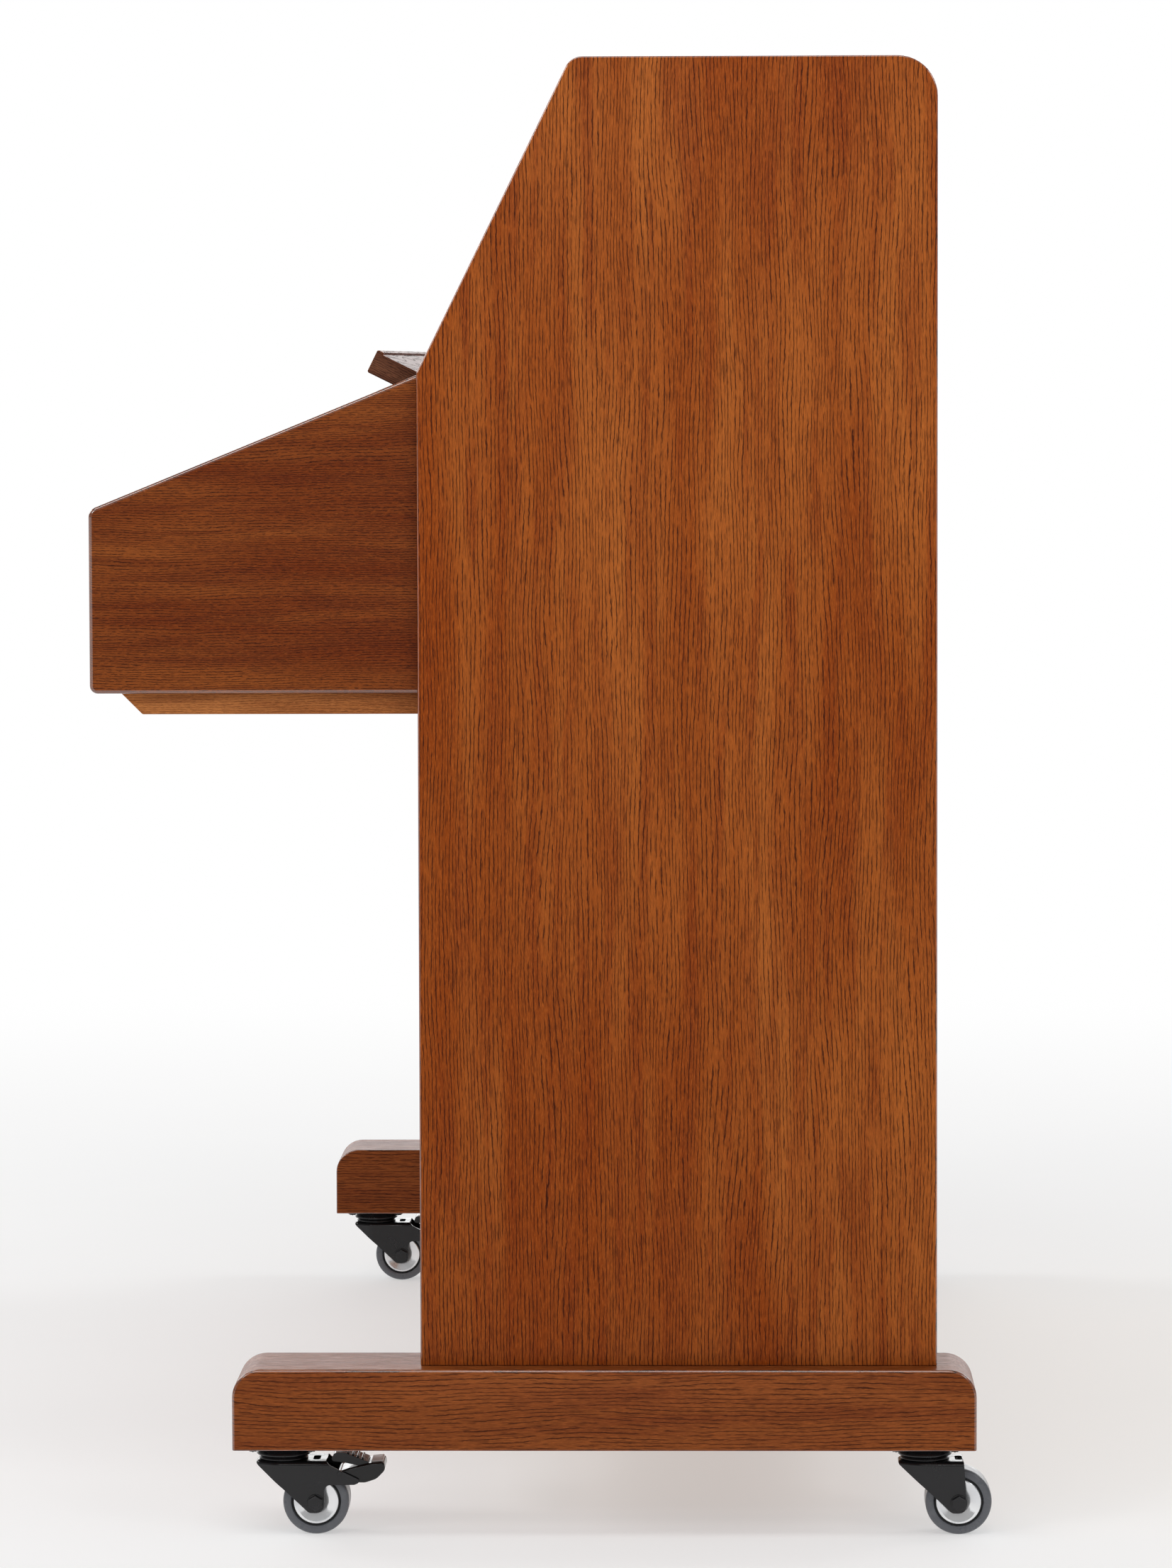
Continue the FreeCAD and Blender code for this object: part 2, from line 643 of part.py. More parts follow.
def save_strung_back():
    save("strings", group(string(n) for n in range(NOTES)))
    save("tuning_pins", group(tuning_pin(n) for n in range(NOTES)))
    save("bridges", bridges())
    save("cast_iron_plate", cast_iron_plate())
    save("pin_block", box(-650, 650, PLATE_REAR_Y, POST_FRONT_Y, 986, TIMBER_TOP_Z))
    save("soundboard", box(-650, 650, SOUNDBOARD_FRONT_Y, SOUNDBOARD_REAR_Y, 200, 985))
    save("soundboard_ribs", soundboard_ribs())
    save("back_frame", back_frame())


# ---- pedals -------------------------------------------------------------
def pedal():
    """Brass lever centred on x = 0: a broad rounded tip, a slim arm and a pivot boss."""
    y, z = PEDAL_PIVOT
    plan = slab_z([(-17, PEDAL_TIP_Y, 15), (17, PEDAL_TIP_Y, 15), (15, 12, 20), (7, 40, 20),
                   (7, PEDAL_REAR_Y), (-7, PEDAL_REAR_Y), (-7, 40, 20), (-15, 12, 20)], z - 5, z + 5)
    boss = rod(vec(-7, y, z), vec(7, y, z), 9.0)
    bore = rod(vec(-8, y, z), vec(8, y, z), 3.1)
    return joined(plan, boss).cut(bore)


def pedal_bracket(x):
    """Two ears on the bottom board with the pivot pin through them."""
    y, z = PEDAL_PIVOT
    ears = []
    for inner in (-13.0, 8.0):
        ears.append(slab_x([(y - 12, BOTTOM_BOARD_TOP_Z), (y + 12, BOTTOM_BOARD_TOP_Z),
                            (y + 12, z + 10, 9), (y - 12, z + 10, 9)], x + inner, x + inner + 5))
    pin = rod(vec(x - 13, y, z), vec(x + 13, y, z), 3.0)
    return joined(ears[0], ears[1], pin)


def save_pedals():
    lever = pedal()
    top_of_lever = PEDAL_PIVOT[1] + 5
    for name, x in PEDALS.items():
        save(name + "_pedal", moved(lever, x=x))
        save(name + "_pedal_rod", rod(vec(x, ROD_Y, top_of_lever + 1), vec(x, ROD_Y, 746), 6.0))
    save("pedal_brackets", group(pedal_bracket(x) for x in PEDALS.values()))


# ---- casters ------------------------------------------------------------
# All caster pieces are drawn about their own swivel axis, x = y = 0, and then placed.
LEG_INNER_X = 17.0
LEG_OUTER_X = 19.5
CROWN_BOTTOM_Z = 53.5
CROWN_TOP_Z = 56.0
PLATE_THICKNESS = 2.5
AXLE_RADIUS = 4.0
BRAKE_PIVOT = (43.0, 47.0)
BRAKE_PIN_RADIUS = 1.5


def hexagon(across_flats, x0, x1, y, z):
    """Hexagonal prism along X."""
    reach = across_flats / math.sqrt(3)
    corners = [(y + reach * math.sin(math.radians(60 * i)), z + reach * math.cos(math.radians(60 * i)))
               for i in range(6)]
    return slab_x(corners, x0, x1)


def fork_leg(braked):
    """Outline of one cheek of the pressed fork, in (y, z)."""
    low = [(-20.5, CROWN_TOP_Z, 1), (-19.8, 53.0, 2), (1.8, 34.1, 30), (20.0, 17.0, 5), (31.3, 17.0, 6)]
    if braked:
        return low + [(31.3, 38.2, 5), (54.0, 38.4, 3), (60.5, 41.0, 2), (36.0, 52.7, 8), (33.0, CROWN_TOP_Z, 1)]
    return low + [(28.8, CROWN_TOP_Z, 1)]


def brake_rod(half_length, radius):
    y, z = BRAKE_PIVOT
    return rod(vec(-half_length, y, z), vec(half_length, y, z), radius)


def fork(braked):
    """Pressed steel fork, with its lower race, axle bolt, nut and brake pin as loose solids."""
    rear = 33.0 if braked else 28.8
    crown = slab_z([(-LEG_OUTER_X, -10, 8), (-12, -20.5, 8), (12, -20.5, 8), (LEG_OUTER_X, -10, 8),
                    (LEG_OUTER_X, rear), (-LEG_OUTER_X, rear)], CROWN_BOTTOM_Z, CROWN_TOP_Z)
    outline = fork_leg(braked)
    legs = [slab_x(outline, *on_side(side, LEG_INNER_X, LEG_OUTER_X)) for side in (1, -1)]
    shell = joined(crown, *legs)
    bore = rod(vec(-30, CASTER_TRAIL, WHEEL_RADIUS), vec(30, CASTER_TRAIL, WHEEL_RADIUS), AXLE_RADIUS)
    kingpin_hole = rod(vec(0, 0, 50), vec(0, 0, 60), 4.6)
    pieces = []
    if braked:
        pieces.append(brake_rod(LEG_OUTER_X, BRAKE_PIN_RADIUS))
        shell = shell.cut(pieces[0])
    shell = shell.cut(bore).cut(kingpin_hole)
    race = rod(vec(0, 0, CROWN_TOP_Z), vec(0, 0, 58.6), 18.0).cut(kingpin_hole)
    bolt = joined(rod(vec(-24, CASTER_TRAIL, WHEEL_RADIUS), vec(LEG_OUTER_X, CASTER_TRAIL, WHEEL_RADIUS),
                      AXLE_RADIUS),
                  hexagon(10.0, LEG_OUTER_X, LEG_OUTER_X + 4, CASTER_TRAIL, WHEEL_RADIUS))
    nut = hexagon(10.0, -LEG_OUTER_X - 4, -LEG_OUTER_X, CASTER_TRAIL, WHEEL_RADIUS).cut(bolt)
    return group([shell, race, bolt, nut] + pieces)


def tyre():
    """Soft ring with rounded shoulders."""
    half = WHEEL_WIDTH / 2
    ring = rod(vec(-half, 0, 0), vec(half, 0, 0), WHEEL_RADIUS)
    ring = soften(ring, 3.5, lambda edge: edge.Curve.TypeId == "Part::GeomCircle")
    return ring.cut(rod(vec(-half - 1, 0, 0), vec(half + 1, 0, 0), 18.0))


def hub():
    """Hub with shallow dished dust covers and the axle bore."""
    half = WHEEL_WIDTH / 2 - 0.5
    body = rod(vec(-half + 1, 0, 0), vec(half - 1, 0, 0), 17.95)
    covers = [rod(vec(side * (half - 1), 0, 0), vec(side * half, 0, 0), 16.9) for side in (1, -1)]
    body = joined(body, *covers)
    return body.cut(rod(vec(-half - 1, 0, 0), vec(half + 1, 0, 0), AXLE_RADIUS + 0.08))


def brake_pedal():
    """Lever with its side skirts, the housing over its pivot and the tread pad."""
    width = LEG_INNER_X - 0.5
    lever = slab_x([(44, 45.5, 3), (53, 39.5, 3), (62, 39.5, 8), (70, 42, 8), (77, 49, 5), (76.5, 55, 2),
                    (66, 54.2, 2), (50, 50.6, 3)], -width, width)
    lever = joined(lever, brake_rod(width, 3.0)).cut(brake_rod(width + 1, BRAKE_PIN_RADIUS + 0.15))
    housing = slab_x([(36.5, 57.0, 2), (40, 62.0, 3), (47, 62.0, 3), (65, 54.9, 1), (64, 51, 1), (46, 56.2, 1)],
                     -14, 14)
    pad = slab_x([(66.5, 54.4), (75.5, 55.0, 0.5), (74.5, 56.4, 0.8), (68, 56.2, 0.8)], -12, 12)
    return group([lever, housing, pad])


def caster_plate():
    """Top plate, upper race cup and kingpin."""
    hole_x, hole_y = 16.5, 22.0
    plate = slab_z([(-24, -30, 5), (24, -30, 5), (24, 30, 5), (-24, 30, 5)],
                   BEAM_BOTTOM_Z - PLATE_THICKNESS, BEAM_BOTTOM_Z)
    cup = Part.makeCone(20.0, 17.0, 6.5, vec(0, 0, 59.0), vec(0, 0, 1))
    kingpin = joined(rod(vec(0, 0, 52.2), vec(0, 0, 60), 4.0), rod(vec(0, 0, 50.2), vec(0, 0, 52.6), 7.0))
    holes = [rod(vec(sx * hole_x, sy * hole_y, 60), vec(sx * hole_x, sy * hole_y, 70), 3.0)
             for sx in (1, -1) for sy in (1, -1)]
    return joined(plate.cut(group(holes)), cup, kingpin)


def caster_screws():
    """Four wood screws of one caster plate."""
    hole_x, hole_y = 16.5, 22.0
    bottom = BEAM_BOTTOM_Z - PLATE_THICKNESS
    screws = []
    for sx in (1, -1):
        for sy in (1, -1):
            x, y = sx * hole_x, sy * hole_y
            head = rod(vec(x, y, bottom - 2), vec(x, y, bottom), 4.5)
            screws.append(joined(head, rod(vec(x, y, bottom), vec(x, y, bottom + 25), 2.4)))
    return screws


def save_casters():
    plates, screws = [], []
    for side_name, side in SIDES.items():
        for end_name, y in (("front", CASTER_FRONT_Y), ("rear", CASTER_REAR_Y)):
            x = side * CASTER_X
            name = end_name + "_" + side_name
            save(name + "_fork", moved(fork(end_name == "front"), x=x, y=y))
            save(name + "_tyre", moved(tyre(), x=x, y=y + CASTER_TRAIL, z=WHEEL_RADIUS))
            save(name + "_hub", moved(hub(), x=x, y=y + CASTER_TRAIL, z=WHEEL_RADIUS))
            plates.append(moved(caster_plate(), x=x, y=y))
            screws += [moved(screw, x=x, y=y) for screw in caster_screws()]
        save(side_name + "_brake_pedal", moved(brake_pedal(), x=side * CASTER_X, y=CASTER_FRONT_Y))
    save("caster_plates", group(plates))
    save("caster_screws", group(screws))


os.makedirs("parts", exist_ok=True)
save_cabinet()
save_keyboard()
save_action()
save_strung_back()
save_pedals()
save_casters()
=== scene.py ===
"""Looks of the upright piano: finished meshes, materials, studio and camera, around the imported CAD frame."""
import json
import math

import bmesh
import bpy
from mathutils import Matrix, Vector


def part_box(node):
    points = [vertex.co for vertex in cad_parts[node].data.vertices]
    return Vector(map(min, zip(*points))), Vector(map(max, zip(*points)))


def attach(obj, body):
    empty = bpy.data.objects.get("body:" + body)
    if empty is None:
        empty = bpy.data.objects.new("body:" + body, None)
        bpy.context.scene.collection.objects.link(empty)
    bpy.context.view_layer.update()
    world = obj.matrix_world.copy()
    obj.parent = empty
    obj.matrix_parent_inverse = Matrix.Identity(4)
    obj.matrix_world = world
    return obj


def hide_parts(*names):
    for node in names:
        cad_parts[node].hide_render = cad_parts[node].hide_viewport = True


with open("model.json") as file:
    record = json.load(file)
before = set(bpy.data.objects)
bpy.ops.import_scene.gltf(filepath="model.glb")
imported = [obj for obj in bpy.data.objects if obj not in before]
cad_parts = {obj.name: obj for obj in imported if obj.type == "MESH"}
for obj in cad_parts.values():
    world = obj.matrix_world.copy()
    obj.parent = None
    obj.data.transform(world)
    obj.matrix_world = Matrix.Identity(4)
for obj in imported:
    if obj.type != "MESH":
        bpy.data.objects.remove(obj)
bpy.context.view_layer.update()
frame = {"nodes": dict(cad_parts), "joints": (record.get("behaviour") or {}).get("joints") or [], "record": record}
NODES = frame["nodes"]
BODY_OF = {node: body for body, nodes in frame["record"]["behaviour"]["bodies"].items() for node in nodes}
SLOT_OF = {part["node"]: part["material_slot"] for part in frame["record"]["subparts"]}
PIVOT = {joint["name"]: Vector(joint["pos_m"]) for joint in frame["joints"] if "pos_m" in joint}
MM = 0.001
X, Y, Z = 0, 1, 2


# ---- shader helpers -------------------------------------------------------
def srgb(red, green, blue):
    """Linear colour of a display colour given from 0 to 255."""
    def linear(value):
        value /= 255
        return value / 12.92 if value <= 0.04045 else ((value + 0.055) / 1.055) ** 2.4
    return (linear(red), linear(green), linear(blue), 1.0)


class Shader:
    """A material with one Principled surface, and short calls that add nodes to it."""

    def __init__(self, name, **surface):
        self.material = bpy.data.materials.new(name)
        self.material.use_nodes = True
        self.tree = self.material.node_tree
        self.surface = self.tree.nodes["Principled BSDF"]
        self.place = self.add("ShaderNodeTexCoord").outputs["Object"]
        self.feed(**surface)

    def add(self, kind, inputs=None, **settings):
        made = self.tree.nodes.new(kind)
        for key, value in settings.items():
            setattr(made, key, value)
        for key, value in (inputs or {}).items():
            self.into(made.inputs[key], value)
        return made

    def into(self, socket, value):
        if isinstance(value, bpy.types.NodeSocket):
            self.tree.links.new(value, socket)
        else:
            socket.default_value = value

    def feed(self, **surface):
        """Sets or links sockets of the surface; Coat_Weight stands for Coat Weight."""
        for key, value in surface.items():
            self.into(self.surface.inputs[key.replace("_", " ")], value)

    def maths(self, operation, one, other=0.0):
        return self.add("ShaderNodeMath", {0: one, 1: other}, operation=operation).outputs[0]

    def stretched(self, place, grain, factor):
        scale = [1.0, 1.0, 1.0]
        scale[grain] = factor
        return self.add("ShaderNodeVectorMath", {0: place, 1: scale}, operation="MULTIPLY").outputs[0]

    def turned(self, place, degrees):
        angles = tuple(math.radians(angle) for angle in degrees)
        return self.add("ShaderNodeMapping", {"Vector": place, "Rotation": angles}).outputs[0]

    def noise(self, scale, place=None, detail=2.0, roughness=0.5, output="Fac"):
        sockets = {"Vector": place or self.place, "Scale": scale, "Detail": detail, "Roughness": roughness}
        return self.add("ShaderNodeTexNoise", sockets).outputs[output]

    def between(self, value, low, high, to_low=0.0, to_high=1.0):
        """Smooth step of value from low..high to to_low..to_high."""
        sockets = {"Value": value, "From Min": low, "From Max": high, "To Min": to_low, "To Max": to_high}
        return self.add("ShaderNodeMapRange", sockets, interpolation_type="SMOOTHSTEP").outputs[0]

    def mix(self, factor, one, other, blend="MIX"):
        made = self.add("ShaderNodeMix", data_type="RGBA", blend_type=blend)
        for socket, value in zip((made.inputs[0], made.inputs[6], made.inputs[7]), (factor, one, other)):
            self.into(socket, value)
        return made.outputs[2]

    def bump(self, height, depth, strength=1.0):
        made = self.add("ShaderNodeBump", {"Height": height, "Distance": depth, "Strength": strength})
        self.feed(Normal=made.outputs[0])


# ---- materials --------------------------------------------------------------
def oak(name, grain, light, middle, red, dark, row=2.9 * MM, dash=28 * MM, pores=0.9, flecks=0.0,
        lean=0.0, glazed=False):
    """Open-pored stained oak under satin lacquer: rows of dark pores, row apart, along the axis grain.

    lean turns the grain about X, in degrees, for boards that slope.
    glazed is for arrises, where the lacquer gathers.
    """
    s = Shader(name, Specular_IOR_Level=0.1)
    if glazed:
        s.feed(Coat_Weight=1.0, Coat_Roughness=0.08, Coat_IOR=2.0)
    if lean:
        s.place = s.turned(s.place, (lean, 0.0, 0.0))
    slow = s.noise(12.0, s.stretched(s.place, grain, 0.35), 1.0, output="Color")
    shift = s.add("ShaderNodeVectorMath", {0: slow, 1: (0.5, 0.5, 0.5)}, operation="SUBTRACT").outputs[0]
    wander = s.add("ShaderNodeVectorMath", {0: shift, "Scale": 10 * MM}, operation="SCALE").outputs[0]
    place = s.add("ShaderNodeVectorMath", {0: s.place, 1: wander}, operation="ADD").outputs[0]

    across = [0.0 if axis == grain else 1.0 / row for axis in range(3)]
    rank = s.add("ShaderNodeVectorMath", {0: place, 1: across}, operation="DOT_PRODUCT").outputs["Value"]
    spread = s.noise(0.11 / row, s.stretched(s.place, grain, 0.16), 2.0)
    wobble = s.noise(1.1 / row, s.stretched(s.place, grain, 0.42), 2.0)
    rank = s.maths("ADD", rank, s.maths("MULTIPLY", spread, 4.0))
    rank = s.maths("ADD", rank, s.maths("MULTIPLY", wobble, 0.5))
    middle_of_row = s.maths("ABSOLUTE", s.maths("SUBTRACT", s.maths("FRACT", rank), 0.5))
    length = row / dash
    broken = s.noise(1.25 / row, s.stretched(s.place, grain, length), 2.0, 0.6)
    lines = s.maths("MULTIPLY", s.between(middle_of_row, 0.03, 0.19, 1.0, 0.0), s.between(broken, 0.37, 0.51))
    strays = s.noise(2.7 / row, s.stretched(place, grain, length * 0.7), 2.0, 0.6)
    thin = s.between(strays, 0.44, 0.34, 0.0, 0.5)
    pore = s.maths("MAXIMUM", lines, thin)

    bands = s.noise(0.06 / row, s.stretched(place, grain, 0.1), 3.0)
    rings = s.noise(0.3 / row, s.stretched(place, grain, 0.06), 3.0)
    fibres = s.noise(7.0 / row, s.stretched(place, grain, 0.07), 3.0, 0.65)
    colour = s.mix(s.between(bands, 0.3, 0.7), middle, light)
    colour = s.mix(s.between(rings, 0.42, 0.72, 0.0, 0.6), colour, red)
    colour = s.mix(s.between(fibres, 0.52, 0.74, 0.0, 0.6), colour, light)
    tone = s.between(fibres, 0.3, 0.7, 0.74, 1.2)
    colour = s.mix(1.0, colour, s.add("ShaderNodeCombineColor", {0: tone, 1: tone, 2: tone}).outputs[0],
                   "MULTIPLY")
    colour = s.mix(s.maths("MULTIPLY", pore, pores), colour, dark)
    if flecks:
        rays = s.noise(3.2 / row, s.stretched(place, grain, 0.12), 1.0)
        colour = s.mix(s.between(rays, 0.68, 0.76, 0.0, flecks), colour, light)
    s.feed(Base_Color=colour, Roughness=s.between(pore, 0.0, 1.0, 0.34, 0.55))
    s.bump(s.maths("SUBTRACT", s.maths("MULTIPLY", fibres, 0.4), pore), 0.14 * MM, 0.5)
    return s.material


def timber(name, grain, light, dark, ring=3.0 * MM, roughness=0.5, lean=0.0, coat=0.0):
    """Plain straight-grained wood with growth rings about ring apart; lean turns the grain about Y."""
    s = Shader(name, Coat_Weight=coat, Coat_Roughness=0.2)
    place = s.turned(s.place, (0.0, lean, 0.0)) if lean else s.place
    broad = s.noise(0.09 / ring, s.stretched(place, grain, 0.08), 2.0)
    rings = s.noise(0.62 / ring, s.stretched(place, grain, 0.02), 2.0, 0.6)
    fibres = s.noise(900.0, s.stretched(place, grain, 0.03), 2.0)
    share = s.maths("ADD", s.between(rings, 0.42, 0.66, 0.0, 0.7), s.between(broad, 0.3, 0.7, -0.1, 0.3))
    colour = s.mix(share, light, dark)
    colour = s.mix(s.between(fibres, 0.45, 0.75, 0.0, 0.25), colour, dark)
    s.feed(Base_Color=colour, Roughness=s.between(fibres, 0.3, 0.7, roughness - 0.06, roughness + 0.08))
    s.bump(fibres, 0.1 * MM, 0.4)
    return s.material


def metal(name, colour, tint, roughness, brushed=None, grit=0.0, scale=120.0, metallic=1.0):
    """Bare or plated metal with handling marks; brushed is the axis of its polishing lines."""
    s = Shader(name, Metallic=metallic)
    haze = s.noise(scale, detail=4.0)
    lines = s.noise(2600.0, s.stretched(s.place, brushed, 0.02)) if brushed is not None else s.noise(1500.0)
    s.feed(Base_Color=s.mix(s.between(haze, 0.35, 0.7), colour, tint))
    spread = s.maths("ADD", s.between(haze, 0.3, 0.75, roughness - 0.05, roughness + 0.12),
                     s.between(lines, 0.35, 0.65, -0.04, 0.04))
    s.feed(Roughness=spread)
    s.bump(lines, 0.02 * MM + grit, 0.3)
    return s.material


def paint(name, colour, worn, roughness, peel=0.05 * MM, scale=900.0, coat=0.0):
    """Paint or moulded plastic: fine orange peel, faint scuffs and a duller film of dust."""
    s = Shader(name, Coat_Weight=coat, Coat_Roughness=0.12, Specular_IOR_Level=0.4)
    peeled = s.noise(scale, detail=2.0)
    scuffs = s.noise(70.0, detail=6.0, roughness=0.7)
    s.feed(Base_Color=s.mix(s.between(scuffs, 0.52, 0.72, 0.0, 0.6), colour, worn),
           Roughness=s.between(scuffs, 0.35, 0.7, roughness - 0.05, roughness + 0.16))
    s.bump(peeled, peel, 0.35)
    return s.material


def felt(name, colour, pale, depth=0.35 * MM):
    """Pressed wool: matted fibres, soft sheen and uneven dye."""
    s = Shader(name, Roughness=0.95, Sheen_Weight=0.35, Sheen_Roughness=0.5, Specular_IOR_Level=0.15)
    mat = s.noise(1400.0, detail=5.0, roughness=0.75)
    dye = s.noise(120.0, detail=3.0)
    shade = s.mix(s.between(dye, 0.35, 0.7, 0.0, 0.5), colour, pale)
    s.feed(Base_Color=s.mix(s.between(mat, 0.5, 0.72, 0.0, 0.45), shade, pale))
    s.bump(mat, depth, 0.7)
    return s.material


def key_top(name, colour, shade):
    """Cast key-top plastic: faint lengthwise grain under a soft polish."""
    s = Shader(name, Coat_Weight=0.25, Coat_Roughness=0.1)
    grain = s.noise(700.0, s.stretched(s.place, Y, 0.03), 2.0)
    cloud = s.noise(45.0, detail=2.0)
    tone = s.maths("ADD", s.between(grain, 0.4, 0.7, 0.0, 0.15), s.between(cloud, 0.3, 0.7, 0.0, 0.2))
    s.feed(Base_Color=s.mix(tone, colour, shade), Roughness=s.between(grain, 0.3, 0.7, 0.2, 0.32))
    s.bump(grain, 0.01 * MM, 0.15)
    return s.material


def copper_wound(name):
    """Copper winding: fine rings across the string."""
    s = Shader(name, Metallic=1.0)
    rings = s.noise(2600.0, s.stretched(s.stretched(s.place, X, 0.05), Y, 0.05), 1.0)
    haze = s.noise(60.0, detail=3.0)
    s.feed(Base_Color=s.mix(s.between(haze, 0.3, 0.7), srgb(196, 112, 66), srgb(150, 82, 50)),
           Roughness=s.between(rings, 0.3, 0.7, 0.25, 0.45))
    s.bump(rings, 0.12 * MM, 0.8)
    return s.material


# Each set of tones is the oak's light, middle, red and dark colour.
PANEL_TONES = (srgb(163, 88, 32), srgb(135, 58, 4), srgb(124, 49, 6), srgb(42, 8, 0))
LEVEL_TONES = (srgb(133, 69, 25), srgb(102, 40, 5), srgb(91, 34, 7), srgb(34, 7, 0))
BEAM_TONES = (srgb(143, 77, 34), srgb(124, 63, 24), srgb(111, 50, 20), srgb(54, 21, 6))
LEDGE_TONES = (srgb(112, 70, 48), srgb(90, 52, 34), srgb(80, 42, 26), srgb(34, 14, 8))
BED_TONES = (srgb(187, 118, 64), srgb(156, 91, 44), srgb(129, 68, 30), srgb(84, 42, 18))
DESK_LEAN = 26.27
SOUNDBOARD_LEAN = -52.0
RIB_LEAN = SOUNDBOARD_LEAN + 90.0

OAK_UPRIGHT = oak("oak_upright", Z, *PANEL_TONES)
OAK_CHEEK = oak("oak_cheek", Y, *LEVEL_TONES, 1.9 * MM, 8 * MM, 0.9, 0.8)
OAK_BEAM = oak("oak_beam", Y, *BEAM_TONES, 3.0 * MM, 34 * MM, 0.9)
PANEL_ARRIS = oak("panel_arris", Z, *PANEL_TONES, glazed=True)
CHEEK_ARRIS = oak("cheek_arris", Y, *LEVEL_TONES, 1.9 * MM, 8 * MM, 0.9, 0.8, glazed=True)
BEAM_ARRIS = oak("beam_arris", Y, *BEAM_TONES, 3.0 * MM, 34 * MM, 0.9, glazed=True)
OAK_ACROSS = oak("oak_across", X, *LEVEL_TONES, 3.0 * MM, 12 * MM, 0.85)
OAK_DESK = oak("oak_desk", Z, *PANEL_TONES, lean=DESK_LEAN)
OAK_LEDGE_END = oak("oak_ledge_end", Y, *LEDGE_TONES, 1.6 * MM, 10 * MM, 0.9, lean=DESK_LEAN)
OAK_BED = oak("keybed_wood", Y, *BED_TONES, 1.6 * MM, 9 * MM, 0.7)
SPRUCE_ALONG_X = timber("spruce_level", X, srgb(226, 190, 138), srgb(190, 141, 88), 4.0 * MM, 0.6)
SPRUCE_UPRIGHT = timber("spruce_upright", Z, srgb(226, 190, 138), srgb(188, 138, 86), 4.5 * MM, 0.6)
SOUNDBOARD = timber("spruce_soundboard", X, srgb(222, 178, 112), srgb(187, 132, 72), 2.0 * MM, 0.4,
                    SOUNDBOARD_LEAN, 0.3)
RIB_WOOD = timber("spruce_rib", X, srgb(229, 190, 132), srgb(192, 142, 86), 2.6 * MM, 0.5, RIB_LEAN, 0.2)
MAPLE_ALONG_X = timber("maple_level", X, srgb(214, 176, 130), srgb(184, 138, 92), 2.2 * MM, 0.45)
MAPLE_UPRIGHT = timber("maple_upright", Z, srgb(214, 176, 130), srgb(184, 138, 92), 1.8 * MM, 0.45)
KEY_WOOD = timber("key_wood", Y, srgb(224, 190, 140), srgb(196, 152, 102), 2.5 * MM, 0.55)
BOARD_WOOD = timber("board_wood", X, srgb(176, 130, 86), srgb(140, 98, 60), 3.0 * MM, 0.6)

RED_FELT = felt("red_felt", srgb(150, 16, 22), srgb(178, 40, 40))
WHITE_FELT = felt("hammer_felt", srgb(232, 226, 208), srgb(245, 240, 228))
IVORY = key_top("ivory_key", srgb(240, 237, 224), srgb(228, 222, 202))
EBONY = key_top("black_key", srgb(22, 21, 22), srgb(38, 36, 36))
COPPER = copper_wound("copper_winding")
BRASS = metal("brass", srgb(222, 178, 92), srgb(196, 146, 70), 0.16, Y)
HINGE_BRASS = metal("hinge_brass", srgb(206, 164, 88), srgb(176, 132, 66), 0.26, X)
STEEL = metal("pin_steel", srgb(176, 178, 184), srgb(140, 142, 148), 0.24)
DARK_ZINC = metal("dark_zinc", srgb(74, 75, 78), srgb(50, 51, 54), 0.34)
CHROME = metal("hub_chrome", srgb(244, 245, 246), srgb(230, 232, 235), 0.12, None, 0.0, 60.0, 0.75)
IRON = metal("gilded_iron", srgb(196, 156, 82), srgb(166, 126, 62), 0.38, None, 0.12 * MM, 300.0)
BLACK_STEEL = paint("black_steel", srgb(24, 24, 26), srgb(36, 36, 38), 0.13, 0.02 * MM, 1100.0)
BLACK_MOULD = paint("black_mould", srgb(16, 16, 17), srgb(28, 28, 30), 0.12, 0.02 * MM, 1500.0)
GREY_PAD = paint("grey_pad", srgb(240, 241, 241), srgb(216, 218, 218), 0.42, 0.08 * MM, 1800.0)
GREY_TYRE = paint("grey_tyre", srgb(92, 94, 99), srgb(108, 110, 114), 0.3, 0.05 * MM, 700.0, 0.15)
BLACK_RUBBER = paint("black_rubber", srgb(14, 14, 15), srgb(28, 28, 29), 0.5, 0.06 * MM, 900.0)


# ---- mesh helpers -----------------------------------------------------------
def rounded(corners, steps=5):
    """Outline points of corners (u, v) or (u, v, radius), with each radius as an arc."""
    points = []
    for i, corner in enumerate(corners):
        here = Vector(corner[:2])
        radius = corner[2] if len(corner) > 2 else 0.0
        if not radius:
            points.append(here)
            continue
        back = (Vector(corners[i - 1][:2]) - here).normalized()
        ahead = (Vector(corners[(i + 1) % len(corners)][:2]) - here).normalized()
        half = back.angle(ahead) / 2
        centre = here + (back + ahead).normalized() * (radius / math.sin(half))
        start = here + back * (radius / math.tan(half)) - centre
        turn = math.pi - 2 * half
        if back.cross(ahead) > 0:
            turn = -turn
        for step in range(steps + 1):
            points.append(centre + Matrix.Rotation(turn * step / steps, 2) @ start)
    return points


def prism(bm, corners, place, low, high, steps=5):
    """Closed prism of a rounded outline (u, v) between w = low and w = high, placed by place(u, v, w)."""
    outline = rounded(corners, steps)
    ends = [[bm.verts.new(place(u, v, w)) for u, v in outline] for w in (low, high)]
    faces = [bm.faces.new(ends[0]), bm.faces.new(reversed(ends[1]))]
    for i in range(len(outline)):
        j = (i + 1) % len(outline)
        faces.append(bm.faces.new((ends[0][j], ends[0][i], ends[1][i], ends[1][j])))
    bmesh.ops.recalc_face_normals(bm, faces=faces)
    return faces


def along_x(y, z, x):
    """Place of a side outline (y, z) carried along X, in millimetres."""
    return (x * MM, y * MM, z * MM)


def along_y(x, z, y):
    """Place of a front outline (x, z) carried along Y."""
    return (x * MM, y * MM, z * MM)


